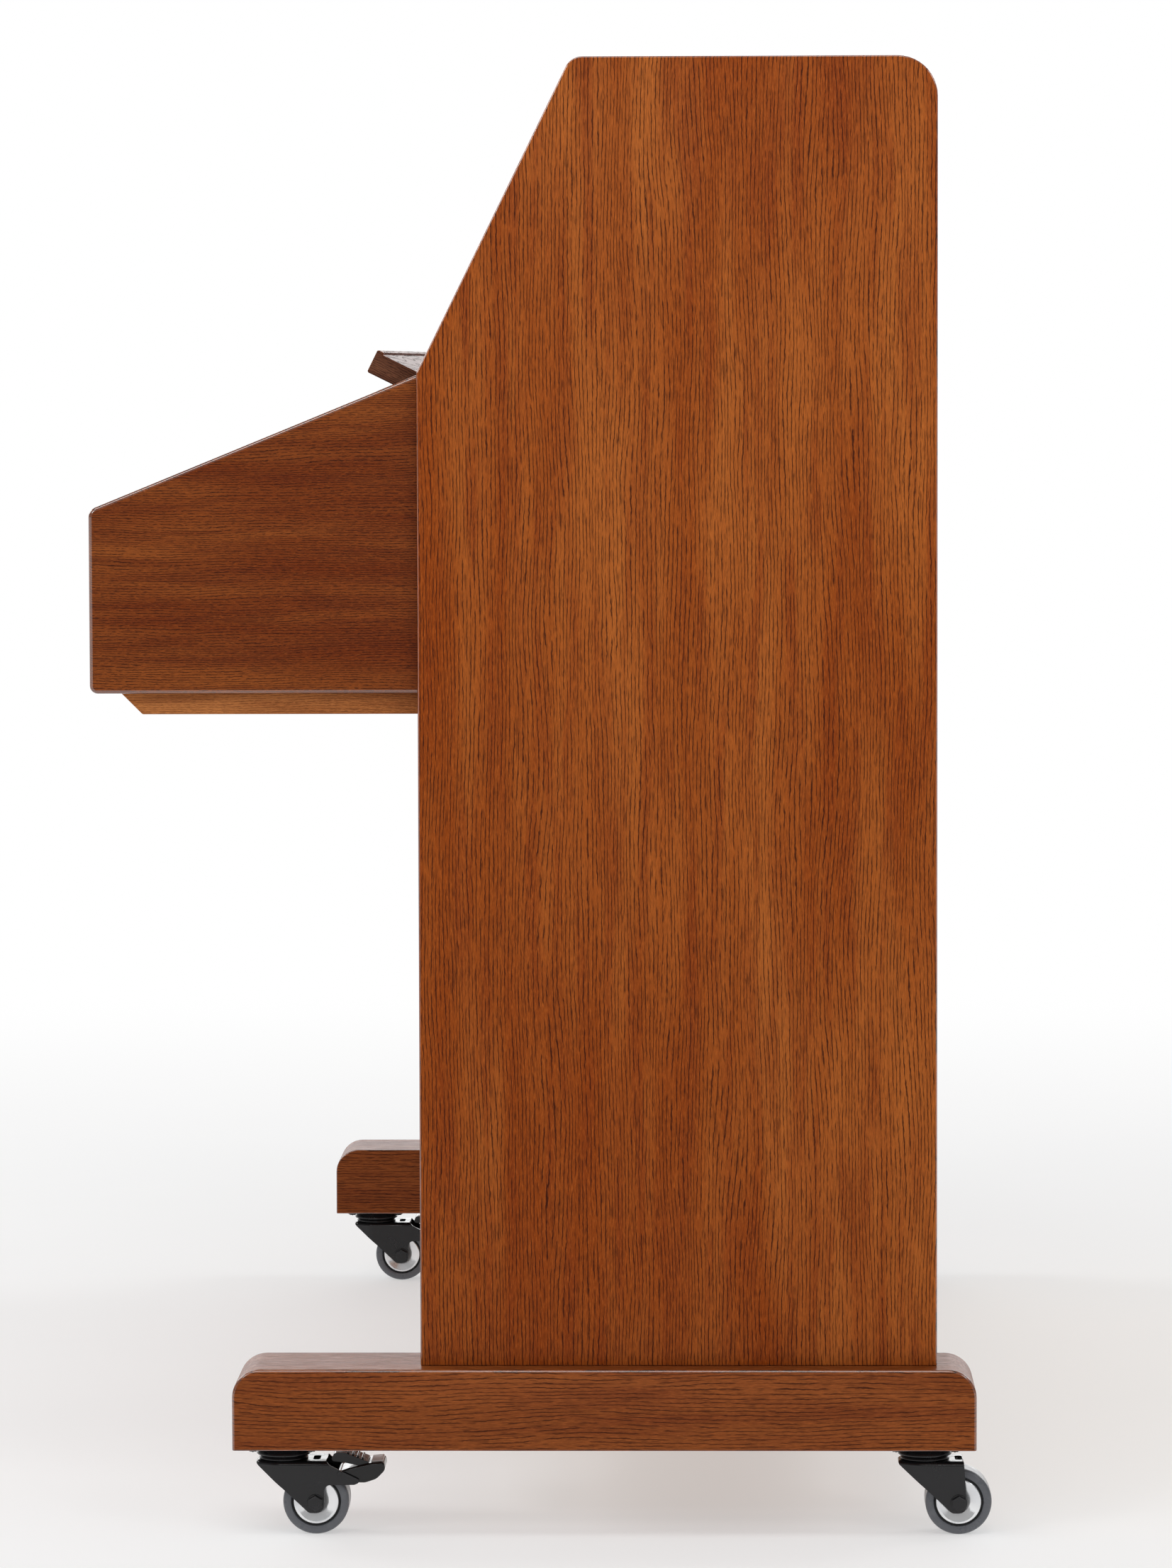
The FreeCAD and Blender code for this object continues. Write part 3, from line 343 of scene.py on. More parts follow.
def along_z(x, y, z):
    """Place of a plan outline (x, y) carried along Z."""
    return (x * MM, y * MM, z * MM)


def lathe(bm, profile, place, steps=64, closed=False):
    """Turned surface of profile (radius, offset); place(offset, a, b) takes the radial parts a and b."""
    rings = []
    for radius, offset in profile:
        if radius <= 0:
            rings.append([bm.verts.new(place(offset, 0.0, 0.0))])
            continue
        turns = [2 * math.pi * i / steps for i in range(steps)]
        rings.append([bm.verts.new(place(offset, radius * math.cos(t), radius * math.sin(t))) for t in turns])
    pairs = list(zip(rings, rings[1:]))
    if closed:
        pairs.append((rings[-1], rings[0]))
    faces = []
    for one, other in pairs:
        for i in range(steps):
            j = (i + 1) % steps
            corners = [one[i % len(one)], one[j % len(one)], other[j % len(other)], other[i % len(other)]]
            distinct = list(dict.fromkeys(corners))
            if len(distinct) > 2:
                faces.append(bm.faces.new(distinct))
    bmesh.ops.recalc_face_normals(bm, faces=faces)
    return faces


def about_x(centre):
    """Turning about the X axis through centre (x, y, z), in millimetres."""
    x, y, z = centre
    return lambda offset, a, b: ((x + offset) * MM, (y + a) * MM, (z + b) * MM)


def about_y(centre):
    """Turning about the Y axis through centre."""
    x, y, z = centre
    return lambda offset, a, b: ((x + a) * MM, (y + offset) * MM, (z + b) * MM)


def about_z(centre):
    """Turning about the Z axis through centre."""
    x, y, z = centre
    return lambda offset, a, b: ((x + a) * MM, (y + b) * MM, (z + offset) * MM)


def solid(name, bm):
    """A new object of that name with the mesh in bm, which is freed."""
    mesh = bpy.data.meshes.new(name)
    bm.to_mesh(mesh)
    bm.free()
    piece = bpy.data.objects.new(name, mesh)
    bpy.context.scene.collection.objects.link(piece)
    return piece


def baked(piece):
    """Applies the piece's modifiers to its mesh."""
    graph = bpy.context.evaluated_depsgraph_get()
    final = bpy.data.meshes.new_from_object(piece.evaluated_get(graph))
    piece.modifiers.clear()
    piece.data = final
    return piece


def carved(piece, cutter, operation="DIFFERENCE"):
    """The piece less the cutter, or with INTERSECT only what both share."""
    tool = solid("cutter", cutter)
    change = piece.modifiers.new("carve", "BOOLEAN")
    change.object = tool
    change.operation = operation
    change.solver = "EXACT"
    baked(piece)
    bpy.data.objects.remove(tool)
    return piece


def eased(piece, width=0.8 * MM, segments=2, angle=32.0):
    """Rounds the arrises sharper than angle and gives the flats even shading."""
    piece.data.shade_smooth()
    piece.data.set_sharp_from_angle(angle=math.radians(angle))
    if width:
        arris = piece.modifiers.new("arris", "BEVEL")
        arris.width = width
        arris.segments = segments
        arris.limit_method = "ANGLE"
        arris.angle_limit = math.radians(angle)
        arris.harden_normals = True
        arris.use_clamp_overlap = True
    level = piece.modifiers.new("level", "WEIGHTED_NORMAL")
    level.keep_sharp = True
    return baked(piece)


def cad_mesh(node):
    """The node's mesh with its flat faces whole again."""
    bm = bmesh.new()
    bm.from_mesh(NODES[node].data)
    bmesh.ops.remove_doubles(bm, verts=bm.verts, dist=1e-6)
    bmesh.ops.dissolve_limit(bm, angle_limit=math.radians(0.4), verts=bm.verts, edges=bm.edges)
    return bm


def dress(piece, materials, choose=None):
    """Gives the piece its materials; choose(centre, normal) names one by number for each face."""
    piece.data.materials.clear()
    for material in materials:
        piece.data.materials.append(material)
    for face in piece.data.polygons:
        face.material_index = choose(face.center, face.normal) if choose else 0
    return piece


def fit(piece, body, slot, *nodes):
    """Rides the piece on body in place of the nodes; slot is not used."""
    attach(piece, body)
    if nodes:
        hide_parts(*nodes)
    return piece


def finished(node, material, width=0.8 * MM, segments=2, choose=None, angle=32.0):
    """A CAD node with eased arrises and its finish, in place of the plain one."""
    piece = solid(node + "_finished", cad_mesh(node))
    eased(piece, width, segments, angle)
    dress(piece, material if isinstance(material, list) else [material], choose)
    fit(piece, BODY_OF[node], SLOT_OF[node], node)


def islands(node):
    """The loose solids of a node from left to right, each as (lowest corner, highest corner, points)."""
    mesh = NODES[node].data
    leader = list(range(len(mesh.vertices)))

    def root(i):
        while leader[i] != i:
            leader[i] = leader[leader[i]]
            i = leader[i]
        return i

    spots = {}
    for i, vertex in enumerate(mesh.vertices):
        key = tuple(round(c * 1e6) for c in vertex.co)
        leader[root(i)] = root(spots.setdefault(key, i))
    for edge in mesh.edges:
        leader[root(edge.vertices[0])] = root(edge.vertices[1])
    groups = {}
    for i, vertex in enumerate(mesh.vertices):
        groups.setdefault(root(i), []).append(vertex.co)
    found = []
    for points in groups.values():
        low = Vector([min(p[k] for p in points) for k in range(3)])
        high = Vector([max(p[k] for p in points) for k in range(3)])
        found.append((low, high, points))
    return sorted(found, key=lambda island: island[0].x + island[1].x)


# ---- cabinet ------------------------------------------------------------------
def on_arris(_centre, normal):
    """1 on the rounded edges between a side's face and its rim, 0 elsewhere."""
    return 1 if 0.12 < abs(normal.x) < 0.985 else 0


def build_cabinet():
    """Oak panels, each grained the way its boards would run."""
    for side in ("left", "right"):
        finished("side_panel_" + side, [OAK_UPRIGHT, PANEL_ARRIS], 1.0 * MM, 3, choose=on_arris)
        finished("cheek_" + side, [OAK_CHEEK, CHEEK_ARRIS], 0.8 * MM, 3, choose=on_arris)
        finished("base_beam_" + side, [OAK_BEAM, BEAM_ARRIS], 0.8 * MM, 3, choose=on_arris)
    finished("keybed", OAK_BED, 0.8 * MM)
    finished("lower_front_panel", OAK_UPRIGHT, 1.0 * MM)
    finished("music_desk_panel", OAK_DESK, 1.0 * MM)
    finished("name_board", OAK_ACROSS, 0.8 * MM)
    for node in ("key_slip", "cheek_blocks", "fallboard_rail", "top_lid"):
        finished(node, OAK_ACROSS, 0.8 * MM)
    finished("music_ledge", [OAK_ACROSS, OAK_LEDGE_END], 0.8 * MM,
             choose=lambda _centre, normal: 1 if abs(normal.x) > 0.9 else 0)
    finished("fallboard", OAK_ACROSS, 1.0 * MM, 3)
    finished("name_board_felt", RED_FELT, 0.8 * MM, 3)
    finished("bottom_board", [BOARD_WOOD, OAK_ACROSS], 1.0 * MM,
             choose=lambda _centre, normal: 1 if normal.y < -0.4 else 0)


# ---- keyboard -----------------------------------------------------------------
def build_keys():
    """Keys on wooden sticks, with moulded tops up to where the fallboard rail hides them."""
    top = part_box("bass_naturals")[1].z
    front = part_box("bass_naturals")[0].y
    visible_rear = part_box("fallboard_rail")[0].y + 3 * MM

    def natural(centre, normal):
        covered = centre.y < visible_rear and centre.z > top - 2.6 * MM
        return 0 if covered or (normal.y < -0.9 and centre.y < front + 6 * MM) else 1

    def sharp(centre, _normal):
        return 0 if centre.z > top - 1.9 * MM and centre.y < visible_rear else 1

    for register in ("bass", "treble"):
        finished(register + "_naturals", [IVORY, KEY_WOOD], 0.45 * MM, 2, choose=natural)
        finished(register + "_sharps", [EBONY, KEY_WOOD], 0.35 * MM, 2, choose=sharp)
    finished("key_frame", MAPLE_ALONG_X, 1.0 * MM)


# ---- action ---------------------------------------------------------------------
HAMMER_REST = math.radians(22.95)
HEAD_HEIGHT = 105.0
HEAD_REACH = {"bass": 61.3, "treble": 62.3}


def build_hammers():
    """Butts, shanks, mouldings and two layers of felt, one set for each register.

    Each set is built at the strings, with its heads HEAD_HEIGHT above the pivot, and turned back to rest.
    """
    for register in ("bass", "treble"):
        node = register + "_hammers"
        pivot = PIVOT[register + "_hammer_strike"]
        y, z = pivot.y / MM, pivot.z / MM
        head, tip = z + HEAD_HEIGHT, y + HEAD_REACH[register]
        wood, shanks, felts, unders = bmesh.new(), bmesh.new(), bmesh.new(), bmesh.new()
        for low, high, _ in islands(node):
            x = (low.x + high.x) / 2 / MM
            prism(wood, [(y - 7, z - 12, 3), (y + 7, z - 12, 3), (y + 7, z + 14, 5), (y - 7, z + 14, 4)],
                  along_x, x - 4, x + 4)
            lathe(shanks, [(0, 12), (2.8, 12), (2.8, HEAD_HEIGHT), (0, HEAD_HEIGHT)], about_z((x, y, z)), 12)
            prism(wood, [(y - 7, head - 5, 2), (tip - 14, head - 2, 1), (tip - 14, head + 2, 1),
                         (y - 7, head + 5, 2)], along_x, x - 4.5, x + 4.5)
            prism(unders, [(y + 22, head - 7), (tip - 10, head - 6, 5), (tip - 10, head + 6, 5),
                           (y + 22, head + 7)], along_x, x - 4.9, x + 4.9)
            prism(felts, [(y + 18, head - 10.5, 2), (tip - 14, head - 10.5, 8), (tip, head, 6.5),
                          (tip - 14, head + 10.5, 8), (y + 18, head + 10.5, 2), (y + 24, head, 6)],
                  along_x, x - 5.4, x + 5.4, 6)
        turn = Matrix.Translation(pivot) @ Matrix.Rotation(HAMMER_REST, 4, "X") @ Matrix.Translation(-pivot)
        parts = ((wood, "_mouldings", MAPLE_UPRIGHT, 0.5), (shanks, "_shanks", MAPLE_UPRIGHT, 0.0),
                 (unders, "_under_felts", RED_FELT, 0.4), (felts, "_felts", WHITE_FELT, 0.8))
        for bm, suffix, material, width in parts:
            bm.transform(turn)
            piece = dress(eased(solid(register + suffix, bm), width * MM, 2), [material])
            fit(piece, node, "hammer_felt", node)


def build_dampers():
    """Levers, wires and felted blocks, told apart by where they lie in the CAD solids."""
    low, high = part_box("dampers")
    block_low = high.z - 27 * MM
    foot_high = low.z + 13 * MM
    block_front = low.y + 21 * MM

    def part(centre, _normal):
        if centre.z > block_low:
            return 0 if centre.y > block_front else 1
        return 1 if centre.z < foot_high else 2

    finished("dampers", [WHITE_FELT, MAPLE_UPRIGHT, STEEL], 0.4 * MM, 2, choose=part)


def build_action_frame():
    """Maple rails, with iron for the end brackets and steel for the round rods."""
    bracket_inner = 621.5 * MM
    rods = [PIVOT[joint] for joint in ("bass_hammer_strike", "damper_lift")]

    def part(centre, _normal):
        if abs(centre.x) > bracket_inner:
            return 1
        on_rod = any(math.hypot(centre.y - rod.y, centre.z - rod.z) < 2.5 * MM for rod in rods)
        return 2 if on_rod else 0

    finished("action_frame", [MAPLE_ALONG_X, IRON, STEEL], 1.0 * MM, choose=part)


# ---- strung back ------------------------------------------------------------------
def ends_of(points):
    """Middle of the lowest and of the highest vertices of a thin, steep rod."""
    low, high = min(p.z for p in points), max(p.z for p in points)
    ends = []
    for level in (low, high):
        near = [p for p in points if abs(p.z - level) < 2.5 * MM]
        ends.append(sum(near, Vector()) / len(near))
    return ends


def tube(bm, start, end, radius, sides=8):
    """Straight closed rod from start to end."""
    span = end - start
    turn = span.to_track_quat("Z", "Y").to_matrix().to_4x4()
    turn.translation = (start + end) / 2
    bmesh.ops.create_cone(bm, cap_ends=True, segments=sides, radius1=radius, radius2=radius,
                          depth=span.length, matrix=turn)


def build_strings():
    """Single and paired copper-wound bass strings, and three plain steel strings for each treble note."""
    steel, copper = bmesh.new(), bmesh.new()
    singles = 10
    bare_low, bare_high = 45 * MM, 62 * MM
    bass_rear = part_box("strings")[0].y + 3.3 * MM
    bass, treble = [], []
    for rod in islands("strings"):
        (bass if (rod[0].y + rod[1].y) / 2 < bass_rear else treble).append(rod)
    for count, (low, high, points) in enumerate(bass):
        start, end = ends_of(points)
        along = (end - start).normalized()
        radius = (high.y - low.y) / 2 - 0.1 * MM
        single = count < singles
        for offset in (0.0,) if single else (-2.2 * MM, 2.2 * MM):
            aside = Vector((offset, 0, 0))
            tube(steel, start + aside, end + aside, 0.5 * MM, 6)
            tube(copper, start + aside + along * bare_low, end + aside - along * bare_high,
                 radius * (1.0 if single else 0.8))
    for _, _, points in treble:
        start, end = ends_of(points)
        for offset in (-2.6 * MM, 0.0, 2.6 * MM):
            aside = Vector((offset, 0, 0))
            tube(steel, start + aside, end + aside, 0.45 * MM, 6)
    for bm, name, material in ((steel, "string_wires", STEEL), (copper, "string_windings", COPPER)):
        piece = solid(name, bm)
        piece.data.shade_smooth()
        piece.data.set_sharp_from_angle(angle=math.radians(50))
        fit(dress(piece, [material]), "case", "pin_steel", "strings")


def build_tuning_pins():
    """Steel pins with a square, slightly tapered head and three coils of wire."""
    pins, coils = bmesh.new(), bmesh.new()
    radius, half, head = 3.3, 2.3, 9
    sixths = [math.radians(60 * k) for k in range(6)]
    for low, high, _ in islands("tuning_pins"):
        x, z = (low.x + high.x) / 2 / MM, (low.z + high.z) / 2 / MM
        front, rear = low.y / MM, high.y / MM
        profile = [(0, rear), (radius, rear), (radius, front + head), (3.1, front + 8.2), (0, front + 8.2)]
        lathe(pins, profile, about_y((x, 0, z)), 14)
        prism(pins, [(x - half, z - half, 0.5), (x + half, z - half, 0.5), (x + half, z + half, 0.5),
                     (x - half, z + half, 0.5)], along_y, front, front + head, 2)
        for turn in range(3):
            centre = front + 11.5 + 1.1 * turn
            ring = [(radius + 0.9 * math.sin(a), centre + 0.5 * math.cos(a)) for a in sixths]
            lathe(coils, ring, about_y((x, 0, z)), 14, True)
    fit(dress(eased(solid("tuning_pins_turned", pins), 0.0), [STEEL]), "case", "pin_steel", "tuning_pins")
    fit(dress(eased(solid("string_coils", coils), 0.0, angle=70.0), [STEEL]), "case", "pin_steel", "strings")


def build_strung_back():
    """Strings and pins, iron plate, bridges, soundboard with ribs, and the spruce back frame."""
    build_strings()
    build_tuning_pins()
    finished("cast_iron_plate", IRON, 1.6 * MM, 3)
    finished("bridges", MAPLE_ALONG_X, 1.0 * MM)
    finished("pin_block", MAPLE_ALONG_X, 0.8 * MM)
    finished("soundboard", SOUNDBOARD, 0.5 * MM)
    finished("soundboard_ribs", RIB_WOOD, 2.0 * MM, 3)
    low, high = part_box("back_frame")
    posts_low, posts_high = low.z + 70.5 * MM, high.z - 69.5 * MM
    finished("back_frame", [SPRUCE_ALONG_X, SPRUCE_UPRIGHT], 1.5 * MM, 3,
             choose=lambda centre, _normal: 1 if posts_low < centre.z < posts_high else 0)


# ---- hinges -------------------------------------------------------------------------
KNUCKLE_LENGTH = 32.0
KNUCKLE_GAP = 0.4


def build_hinge(hinge, moving_body):
    """Continuous hinge: alternate knuckles on one pin, each half riding with its own leaf."""
    low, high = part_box(hinge)
    y, z = PIVOT[hinge].y / MM, PIVOT[hinge].z / MM
    finished(hinge, HINGE_BRASS, 0.2 * MM, 1)
    start, end = low.x / MM, high.x / MM
    count = int((end - start) // KNUCKLE_LENGTH)
    halves = (bmesh.new(), bmesh.new())
    for i in range(count):
        left = start + i * (end - start) / count + KNUCKLE_GAP / 2
        right = start + (i + 1) * (end - start) / count - KNUCKLE_GAP / 2
        profile = [(0, left), (3.1, left), (3.5, left + 0.4), (3.5, right - 0.4), (3.1, right), (0, right)]
        lathe(halves[i % 2], profile, about_x((0, y, z)), 20)
    for bm, suffix, body in zip(halves, ("_fixed_knuckles", "_moving_knuckles"), ("case", moving_body)):
        piece = dress(eased(solid(hinge + suffix, bm), 0.0, angle=50.0), [HINGE_BRASS])
        fit(piece, body, "brass")


# ---- pedals -------------------------------------------------------------------------
def build_pedals():
    """Cast brass pedals with softened edges, their wooden rods and their brackets."""
    for name in ("soft", "practice", "sustain"):
        finished(name + "_pedal", BRASS, 3.4 * MM, 5, angle=50.0)
        finished(name + "_pedal_rod", MAPLE_UPRIGHT, 1.0 * MM, 2)
    finished("pedal_brackets", HINGE_BRASS, 0.8 * MM, 2)


# ---- casters ------------------------------------------------------------------------
# In millimetres from the point of the floor under the swivel axis; wheel pieces are about their own axle.
SWIVEL = (0, 0, 0)
AXLE = (0, 25, 25)
BRAKE_PIN = (0, 43, 47)
WHEEL_CENTRE = (0, 0, 0)
LEG_INNER, LEG_OUTER = 17.0, 19.5
CROWN_LOW, CROWN_HIGH = 53.5, 56.0


def fork_side(braked):
    """Side outline of the pressed fork about its swivel axis."""
    low = [(-20.5, CROWN_HIGH, 1), (-19.8, 53.0, 2), (1.8, 34.1, 30), (20.0, 17.0, 5), (31.3, 17.0, 6)]
    if braked:
        arm = [(31.3, 38.2, 5), (54.0, 38.4, 3), (60.5, 41.0, 2), (36.0, 52.7, 8), (33.0, CROWN_HIGH, 1)]
        return low + arm
    return low + [(28.8, CROWN_HIGH, 1)]


def fork_plan(inset):
    """Plan outline of the fork, inset from its outer face: a blunt nose in front, open behind."""
    half = LEG_OUTER - inset
    nose = 11.0 - 0.4 * inset
    front = -20.6 + inset
    return [(-half, -5, 14), (-nose, front, 7), (nose, front, 7), (half, -5, 14), (half, 70), (-half, 70)]


def fork_shell(braked):
    """Pressed sheet: a skirt round the plan outline under a flat crown, trimmed to its side outline."""
    outer = bmesh.new()
    prism(outer, fork_plan(0.0), along_z, 10, CROWN_HIGH, 8)
    shell = eased(solid("fork", outer), 3.2 * MM, 5, 40.0)
    inner = bmesh.new()
    prism(inner, fork_plan(LEG_OUTER - LEG_INNER), along_z, 0, CROWN_LOW, 8)
    carved(shell, inner)
    side = bmesh.new()
    prism(side, fork_side(braked), along_x, -30, 30, 8)
    carved(shell, side, "INTERSECT")
    holes = bmesh.new()
    lathe(holes, [(0, 50), (4.6, 50), (4.6, 60), (0, 60)], about_z(SWIVEL), 32)
    prism(holes, [(-9, 22.5, 2.4), (9, 22.5, 2.4), (9, 28, 2.4), (-9, 28, 2.4)], along_z, 50, 60)
    carved(shell, holes)
    bore = bmesh.new()
    lathe(bore, [(0, -30), (4.0, -30), (4.0, 30), (0, 30)], about_x(AXLE), 32)
    if braked:
        prism(bore, [(-16.9, 33), (16.9, 33), (16.9, 70), (-16.9, 70)], along_z, 50, 60)
    carved(shell, bore)
    return eased(shell, 0.3 * MM, 2, 40.0)


def fork_parts(braked):
    """Lower race, axle bolt, washer and nut, and on a braked fork its brake pin."""
    bm = bmesh.new()
    lathe(bm, [(5, 56), (18.4, 56), (18.6, 57), (17.6, 58.6), (5, 58.6)], about_z(SWIVEL), 48, True)
    corner = 10 / math.sqrt(3)
    turns = [math.radians(60 * i) for i in range(6)]
    hexagon = [(AXLE[Y] + corner * math.sin(t), AXLE[Z] + corner * math.cos(t), 0.3) for t in turns]
    face, washer = LEG_OUTER, LEG_OUTER + 0.8
    prism(bm, hexagon, along_x, face + 0.7, face + 4, 2)
    prism(bm, hexagon, along_x, -face - 4, -face - 0.7, 2)
    for side in (1, -1):
        lathe(bm, [(4, side * face), (6.4, side * face), (6.4, side * washer), (4, side * washer)],
              about_x(AXLE), 32, True)
    lathe(bm, [(0, -face - 5.2), (3.2, -face - 5.2), (3.9, -face - 4.6), (3.9, face + 1), (0, face + 1)],
          about_x(AXLE), 32)
    if braked:
        lathe(bm, [(0, -face - 0.4), (2.0, -face - 0.3), (2.0, face + 0.3), (0, face + 0.4)],
              about_x(BRAKE_PIN), 20)
    return eased(solid("fork_parts", bm), 0.55 * MM, 2, 40.0)


def tyre_ring():
    """Soft tyre with rounded shoulders, 50 mm across."""
    bm = bmesh.new()
    half = [(18.3, 9.0), (18.3, 13.2), (18.9, 14.4), (20.2, 14.85), (21.6, 14.7)]
    shoulder = [(21.6 + 3.3 * math.sin(math.radians(a)), 11.4 + 3.3 * math.cos(math.radians(a)))
                for a in range(15, 91, 15)]
    crown = [(24.98, 8.0), (25.0, 3.0), (25.0, 0.0)]
    profile = half + shoulder + crown
    profile = profile + [(radius, -offset) for radius, offset in reversed(profile[:-1])]
    lathe(bm, profile, about_x(WHEEL_CENTRE), 96, True)
    return eased(solid("tyre", bm), 0.0, angle=40.0)


def hub_discs():
    """Bright dished dust covers on both faces."""
    bm = bmesh.new()
    for side in (1, -1):
        dish = [(4.3, 12.4), (6.6, 12.4), (7.4, 12.9), (11.0, 13.5), (14.6, 14.0), (16.0, 14.3), (16.7, 14.1),
                (17.0, 13.5), (17.0, 12.6), (4.3, 11.8)]
        lathe(bm, [(radius, side * offset) for radius, offset in dish], about_x(WHEEL_CENTRE), 80, True)
    return eased(solid("hub_covers", bm), 0.0, angle=60.0)


def hub_core():
    """Black moulded core between the covers, showing as a ring around them."""
    bm = bmesh.new()
    half = [(4.3, 11.6), (17.05, 11.6), (17.05, 13.3), (17.4, 13.6), (18.1, 13.4), (18.25, 12.8)]
    profile = half + [(radius, -offset) for radius, offset in reversed(half)]
    lathe(bm, profile, about_x(WHEEL_CENTRE), 80, True)
    return eased(solid("hub_core", bm), 0.0, angle=50.0)


def brake_lever():
    """Moulded lever with a swollen underside, from the brake pin to the toe."""
    bm = bmesh.new()
    half = 16.4
    prism(bm, [(41, 47.5, 2), (44, 44.6, 2), (53, 39.6, 4), (62, 39.4, 9), (70.5, 42.2, 9), (77.2, 49, 5),
               (76.4, 55.4, 2.5), (66, 54.4, 2), (50, 50.6, 3)], along_x, -half, half, 6)
    return eased(solid("brake_lever", bm), 1.5 * MM, 4, 40.0)


def brake_housing():
    """Moulded cover over the spring, with ribs across its back."""
    bm = bmesh.new()
    prism(bm, [(36.0, 55.5, 2), (38.8, 61.6, 2.5), (46.2, 62.0, 3), (64.6, 55.0, 1), (63.6, 50.5, 1),
               (46, 54.6, 1)], along_x, -14, 14, 5)
    for rib in range(4):
        y = 48.5 + rib * 3.6
        z = 61.6 - rib * 1.37
        prism(bm, [(y, z - 1.2), (y + 1.6, z - 1.8), (y + 1.6, z + 0.25, 0.4), (y, z + 0.85, 0.4)],
              along_x, -11, 11, 3)
    return eased(solid("brake_housing", bm), 0.6 * MM, 3, 35.0)


def brake_pad():
    """Tread pad let into the lever's toe."""
    bm = bmesh.new()
    prism(bm, [(66.2, 53.9), (75.8, 54.9, 0.5), (75.0, 56.6, 1.0), (67.0, 55.9, 0.8)], along_x, -12, 12, 4)
    return eased(solid("brake_pad", bm), 0.5 * MM, 3, 35.0)


def swivel_plate():
    """Top plate with pressed rim, upper race cup and the riveted kingpin."""
    bm = bmesh.new()
    prism(bm, [(-24, -30, 5), (24, -30, 5), (24, 30, 5), (-24, 30, 5)], along_z, 65.5, 68, 6)
    cup = [(0, 66), (17.2, 66), (17.8, 65.0), (20.2, 61.6), (20.4, 59.8), (19.6, 59.0), (0, 59.0)]
    lathe(bm, cup, about_z(SWIVEL), 56)
    kingpin = [(0, 60), (3.9, 60), (3.9, 52.8), (6.6, 52.6), (6.9, 51.6), (5.4, 50.4), (0, 50.2)]
    lathe(bm, kingpin, about_z(SWIVEL), 32)
    return eased(solid("swivel_plate", bm), 0.4 * MM, 2, 35.0)


def plate_screws():
    """Round-headed screws with a cross recess."""
    bm = bmesh.new()
    for x in (16.5, -16.5):
        for y in (22.0, -22.0):
            lathe(bm, [(0, 63.3), (2.4, 63.5), (4.0, 64.4), (4.5, 65.5), (2.4, 65.6), (2.2, 80), (0, 84)],
                  about_z((x, y, 0)), 20)
            for a, b in ((2.6, 0.45), (0.45, 2.6)):
                slot = [(x - a, y - b), (x + a, y - b), (x + a, y + b), (x - a, y + b)]
                prism(bm, slot, along_z, 63.2, 63.9)
    return eased(solid("plate_screws", bm), 0.0)


def placed(model, name, material, offset, body, slot, *nodes):
    """A copy of the model at offset, riding on body."""
    piece = bpy.data.objects.new(name, model.data.copy())
    bpy.context.scene.collection.objects.link(piece)
    piece.data.transform(Matrix.Translation(offset))
    dress(piece, [material])
    return fit(piece, body, slot, *nodes)


def build_casters():
    """Each piece is modelled once and copied to the four casters; only the front two have brakes."""
    shells = {braked: fork_shell(braked) for braked in (True, False)}
    fittings = {braked: fork_parts(braked) for braked in (True, False)}
    rings, covers, core = tyre_ring(), hub_discs(), hub_core()
    lever, housing, pad = brake_lever(), brake_housing(), brake_pad()
    plate, screws = swivel_plate(), plate_screws()
    for end in ("front", "rear"):
        for side in ("left", "right"):
            name = end + "_" + side
            swivel = Vector((PIVOT[name + "_swivel"].x, PIVOT[name + "_swivel"].y, 0))
            axle = PIVOT[name + "_roll"]
            caster, wheel = name + "_caster", name + "_wheel"
            braked = end == "front"
            for model, suffix in ((shells[braked], "_fork_shell"), (fittings[braked], "_fork_fittings")):
                placed(model, name + suffix, BLACK_STEEL, swivel, caster, "black_steel", name + "_fork")
            placed(rings, name + "_tyre_ring", GREY_TYRE, axle, wheel, "grey_tyre", name + "_tyre")
            placed(covers, name + "_hub_covers", CHROME, axle, wheel, "hub_chrome", name + "_hub")
            placed(core, name + "_hub_core", BLACK_RUBBER, axle, wheel, "hub_chrome", name + "_hub")
            placed(plate, name + "_swivel_plate", BLACK_STEEL, swivel, "case", "black_steel", "caster_plates")
            placed(screws, name + "_plate_screws", DARK_ZINC, swivel, "case", "pin_steel", "caster_screws")
            if braked:
                brake, node = side + "_brake", side + "_brake_pedal"
                placed(lever, brake + "_lever", BLACK_MOULD, swivel, brake, "black_steel", node)
                placed(housing, brake + "_housing", BLACK_MOULD, swivel, brake, "black_steel", node)
                placed(pad, brake + "_pad", GREY_PAD, swivel, brake, "black_steel", node)
    models = (*shells.values(), *fittings.values(), rings, covers, core, lever, housing, pad, plate, screws)
    for model in models:
        bpy.data.objects.remove(model)


# ---- studio --------------------------------------------------------------------------
def build_floor():
    """Pale floor that takes soft shadows near the piano and fades into the white backdrop."""
    s = Shader("studio_floor", Roughness=0.8, Specular_IOR_Level=0.1)
    patches = s.between(s.noise(3.0, detail=3.0), 0.3, 0.7)
    s.feed(Base_Color=s.mix(patches, srgb(251, 251, 251), srgb(249, 249, 249)))
    distance = s.add("ShaderNodeVectorMath", {0: s.place}, operation="LENGTH").outputs["Value"]
    glow = s.add("ShaderNodeEmission", {"Color": (1.0, 1.0, 1.0, 1.0), "Strength": 1.0})
    blend = s.add("ShaderNodeMixShader", {0: s.between(distance, 0.5, 3.5, 0.45, 1.0)})
    s.tree.links.new(s.surface.outputs[0], blend.inputs[1])
    s.tree.links.new(glow.outputs[0], blend.inputs[2])
    s.tree.links.new(blend.outputs[0], s.tree.nodes["Material Output"].inputs["Surface"])
    bm = bmesh.new()
    bmesh.ops.create_circle(bm, cap_ends=True, segments=96, radius=60.0)
    floor = dress(solid("studio_floor", bm), [s.material])


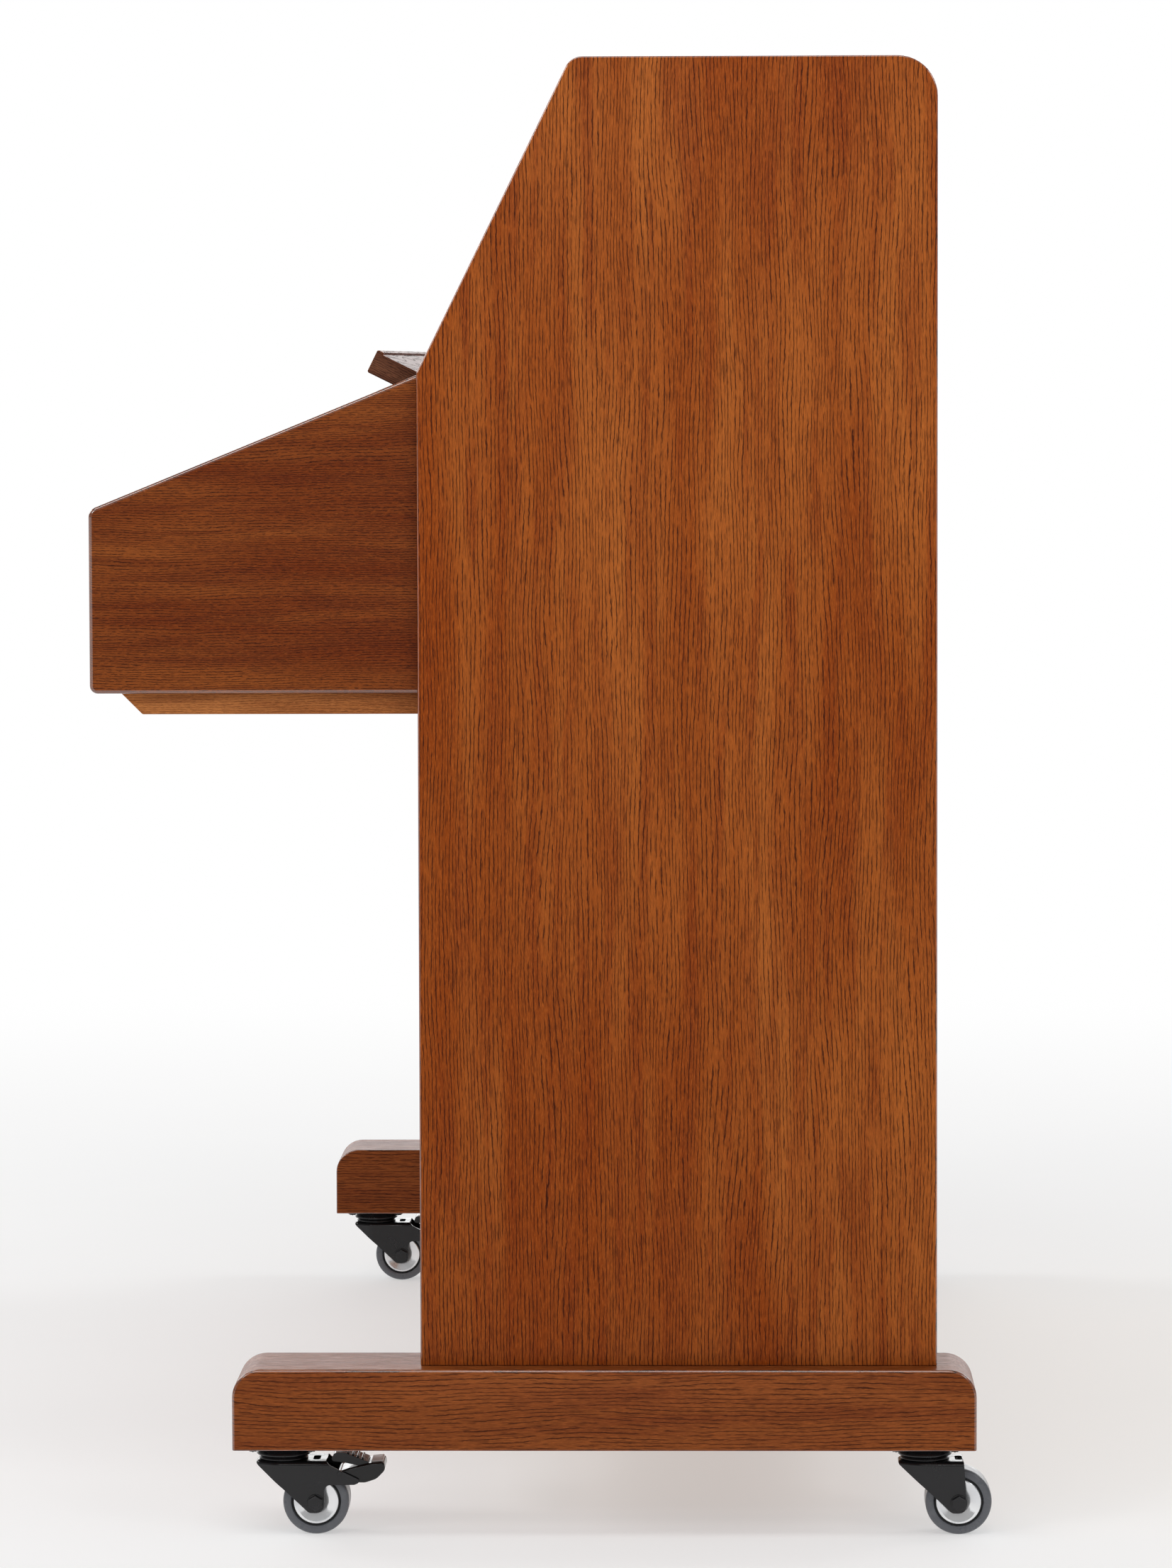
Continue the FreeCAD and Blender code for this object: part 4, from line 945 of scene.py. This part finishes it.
def build_light(name, place, target, size, power, spread=180.0, depth=0.0):
    """Area light at place, turned to target: a disk of that size, or with a depth a rectangle."""
    data = bpy.data.lights.new(name, "AREA")
    data.shape = "RECTANGLE" if depth else "DISK"
    data.size = size
    if depth:
        data.size_y = depth
    data.energy = power
    data.spread = math.radians(spread)
    lamp = bpy.data.objects.new(name, data)
    bpy.context.scene.collection.objects.link(lamp)
    lamp.location = place
    lamp.rotation_euler = (Vector(target) - Vector(place)).to_track_quat("-Z", "Y").to_euler()


def build_world():
    """Soft surround, brightest towards the backdrop behind the piano; the camera sees it as plain white."""
    world = bpy.data.worlds.new("studio")
    world.use_nodes = True
    bpy.context.scene.world = world
    tree = world.node_tree

    def ramp(source, low, high, to_low, to_high):
        made = tree.nodes.new("ShaderNodeMapRange")
        made.interpolation_type = "SMOOTHSTEP"
        for name, value in (("From Min", low), ("From Max", high), ("To Min", to_low), ("To Max", to_high)):
            made.inputs[name].default_value = value
        tree.links.new(source, made.inputs["Value"])
        return made.outputs[0]

    def background():
        made = tree.nodes.new("ShaderNodeBackground")
        made.inputs["Color"].default_value = (1.0, 1.0, 1.0, 1.0)
        return made

    parts = tree.nodes.new("ShaderNodeSeparateXYZ")
    tree.links.new(tree.nodes.new("ShaderNodeTexCoord").outputs["Generated"], parts.inputs[0])
    total = tree.nodes.new("ShaderNodeMath")
    tree.links.new(ramp(parts.outputs["Z"], 0.1, 0.8, 0.32, 0.3), total.inputs[0])
    tree.links.new(ramp(parts.outputs["X"], -0.97, -0.6, 1.9, 0.0), total.inputs[1])
    fill, backdrop = background(), background()
    tree.links.new(total.outputs[0], fill.inputs["Strength"])
    choice = tree.nodes.new("ShaderNodeMixShader")
    tree.links.new(tree.nodes.new("ShaderNodeLightPath").outputs["Is Camera Ray"], choice.inputs[0])
    tree.links.new(fill.outputs[0], choice.inputs[1])
    tree.links.new(backdrop.outputs[0], choice.inputs[2])
    tree.links.new(choice.outputs[0], tree.nodes["World Output"].inputs["Surface"])


def build_studio():
    """Soft lights on the photographed side, with one more in front and one behind."""
    build_world()
    build_light("top_light", (2.0, -0.6, 3.3), (0.4, -0.1, 0.7), 3.2, 38.5, depth=0.9)
    build_light("strip_light", (3.6, 0.0, 1.5), (0.7, 0.0, 0.4), 2.0, 8.0, depth=0.12)
    build_light("left_softbox", (3.4, -2.4, 2.4), (0.7, 0.0, 0.95), 1.1, 2.6, spread=60.0)
    build_light("right_softbox", (3.4, 2.6, 2.4), (0.7, 0.0, 0.95), 1.1, 2.6, spread=60.0)
    build_light("front_light", (-1.4, -3.4, 2.6), (0.0, -0.1, 0.6), 1.6, 40.0)
    build_light("rear_light", (-1.6, 3.2, 2.6), (0.0, 0.2, 0.6), 1.6, 30.0)
    scene = bpy.context.scene
    scene.view_settings.view_transform = "Standard"
    scene.view_settings.look = "None"


def build_camera():
    """Square to the piano's right-hand side, a little above its middle, with a long lens."""
    place = Vector((5.3589, 0.1279, 0.8788))
    yaw, pitch, roll = -0.0201, 0.0668, -0.0029
    forward = Vector((-math.cos(yaw) * math.cos(pitch), math.sin(yaw) * math.cos(pitch), -math.sin(pitch)))
    level = Vector((math.sin(yaw), math.cos(yaw), 0.0))
    upward = level.cross(forward)
    right = level * math.cos(roll) + upward * math.sin(roll)
    up = upward * math.cos(roll) - level * math.sin(roll)
    data = bpy.data.cameras.new("camera")
    data.sensor_fit = "AUTO"
    data.sensor_width = 36.0
    data.lens = 144.7
    camera = bpy.data.objects.new("camera", data)
    bpy.context.scene.collection.objects.link(camera)
    pose = Matrix((right, up, -forward)).transposed().to_4x4()
    pose.translation = place
    camera.matrix_world = pose
    bpy.context.scene.camera = camera


build_cabinet()
build_keys()
build_hammers()
build_dampers()
build_action_frame()
build_strung_back()
build_hinge("lid_hinge", "top_lid")
build_hinge("fallboard_hinge", "fallboard")
build_pedals()
build_casters()
build_floor()
build_studio()
build_camera()
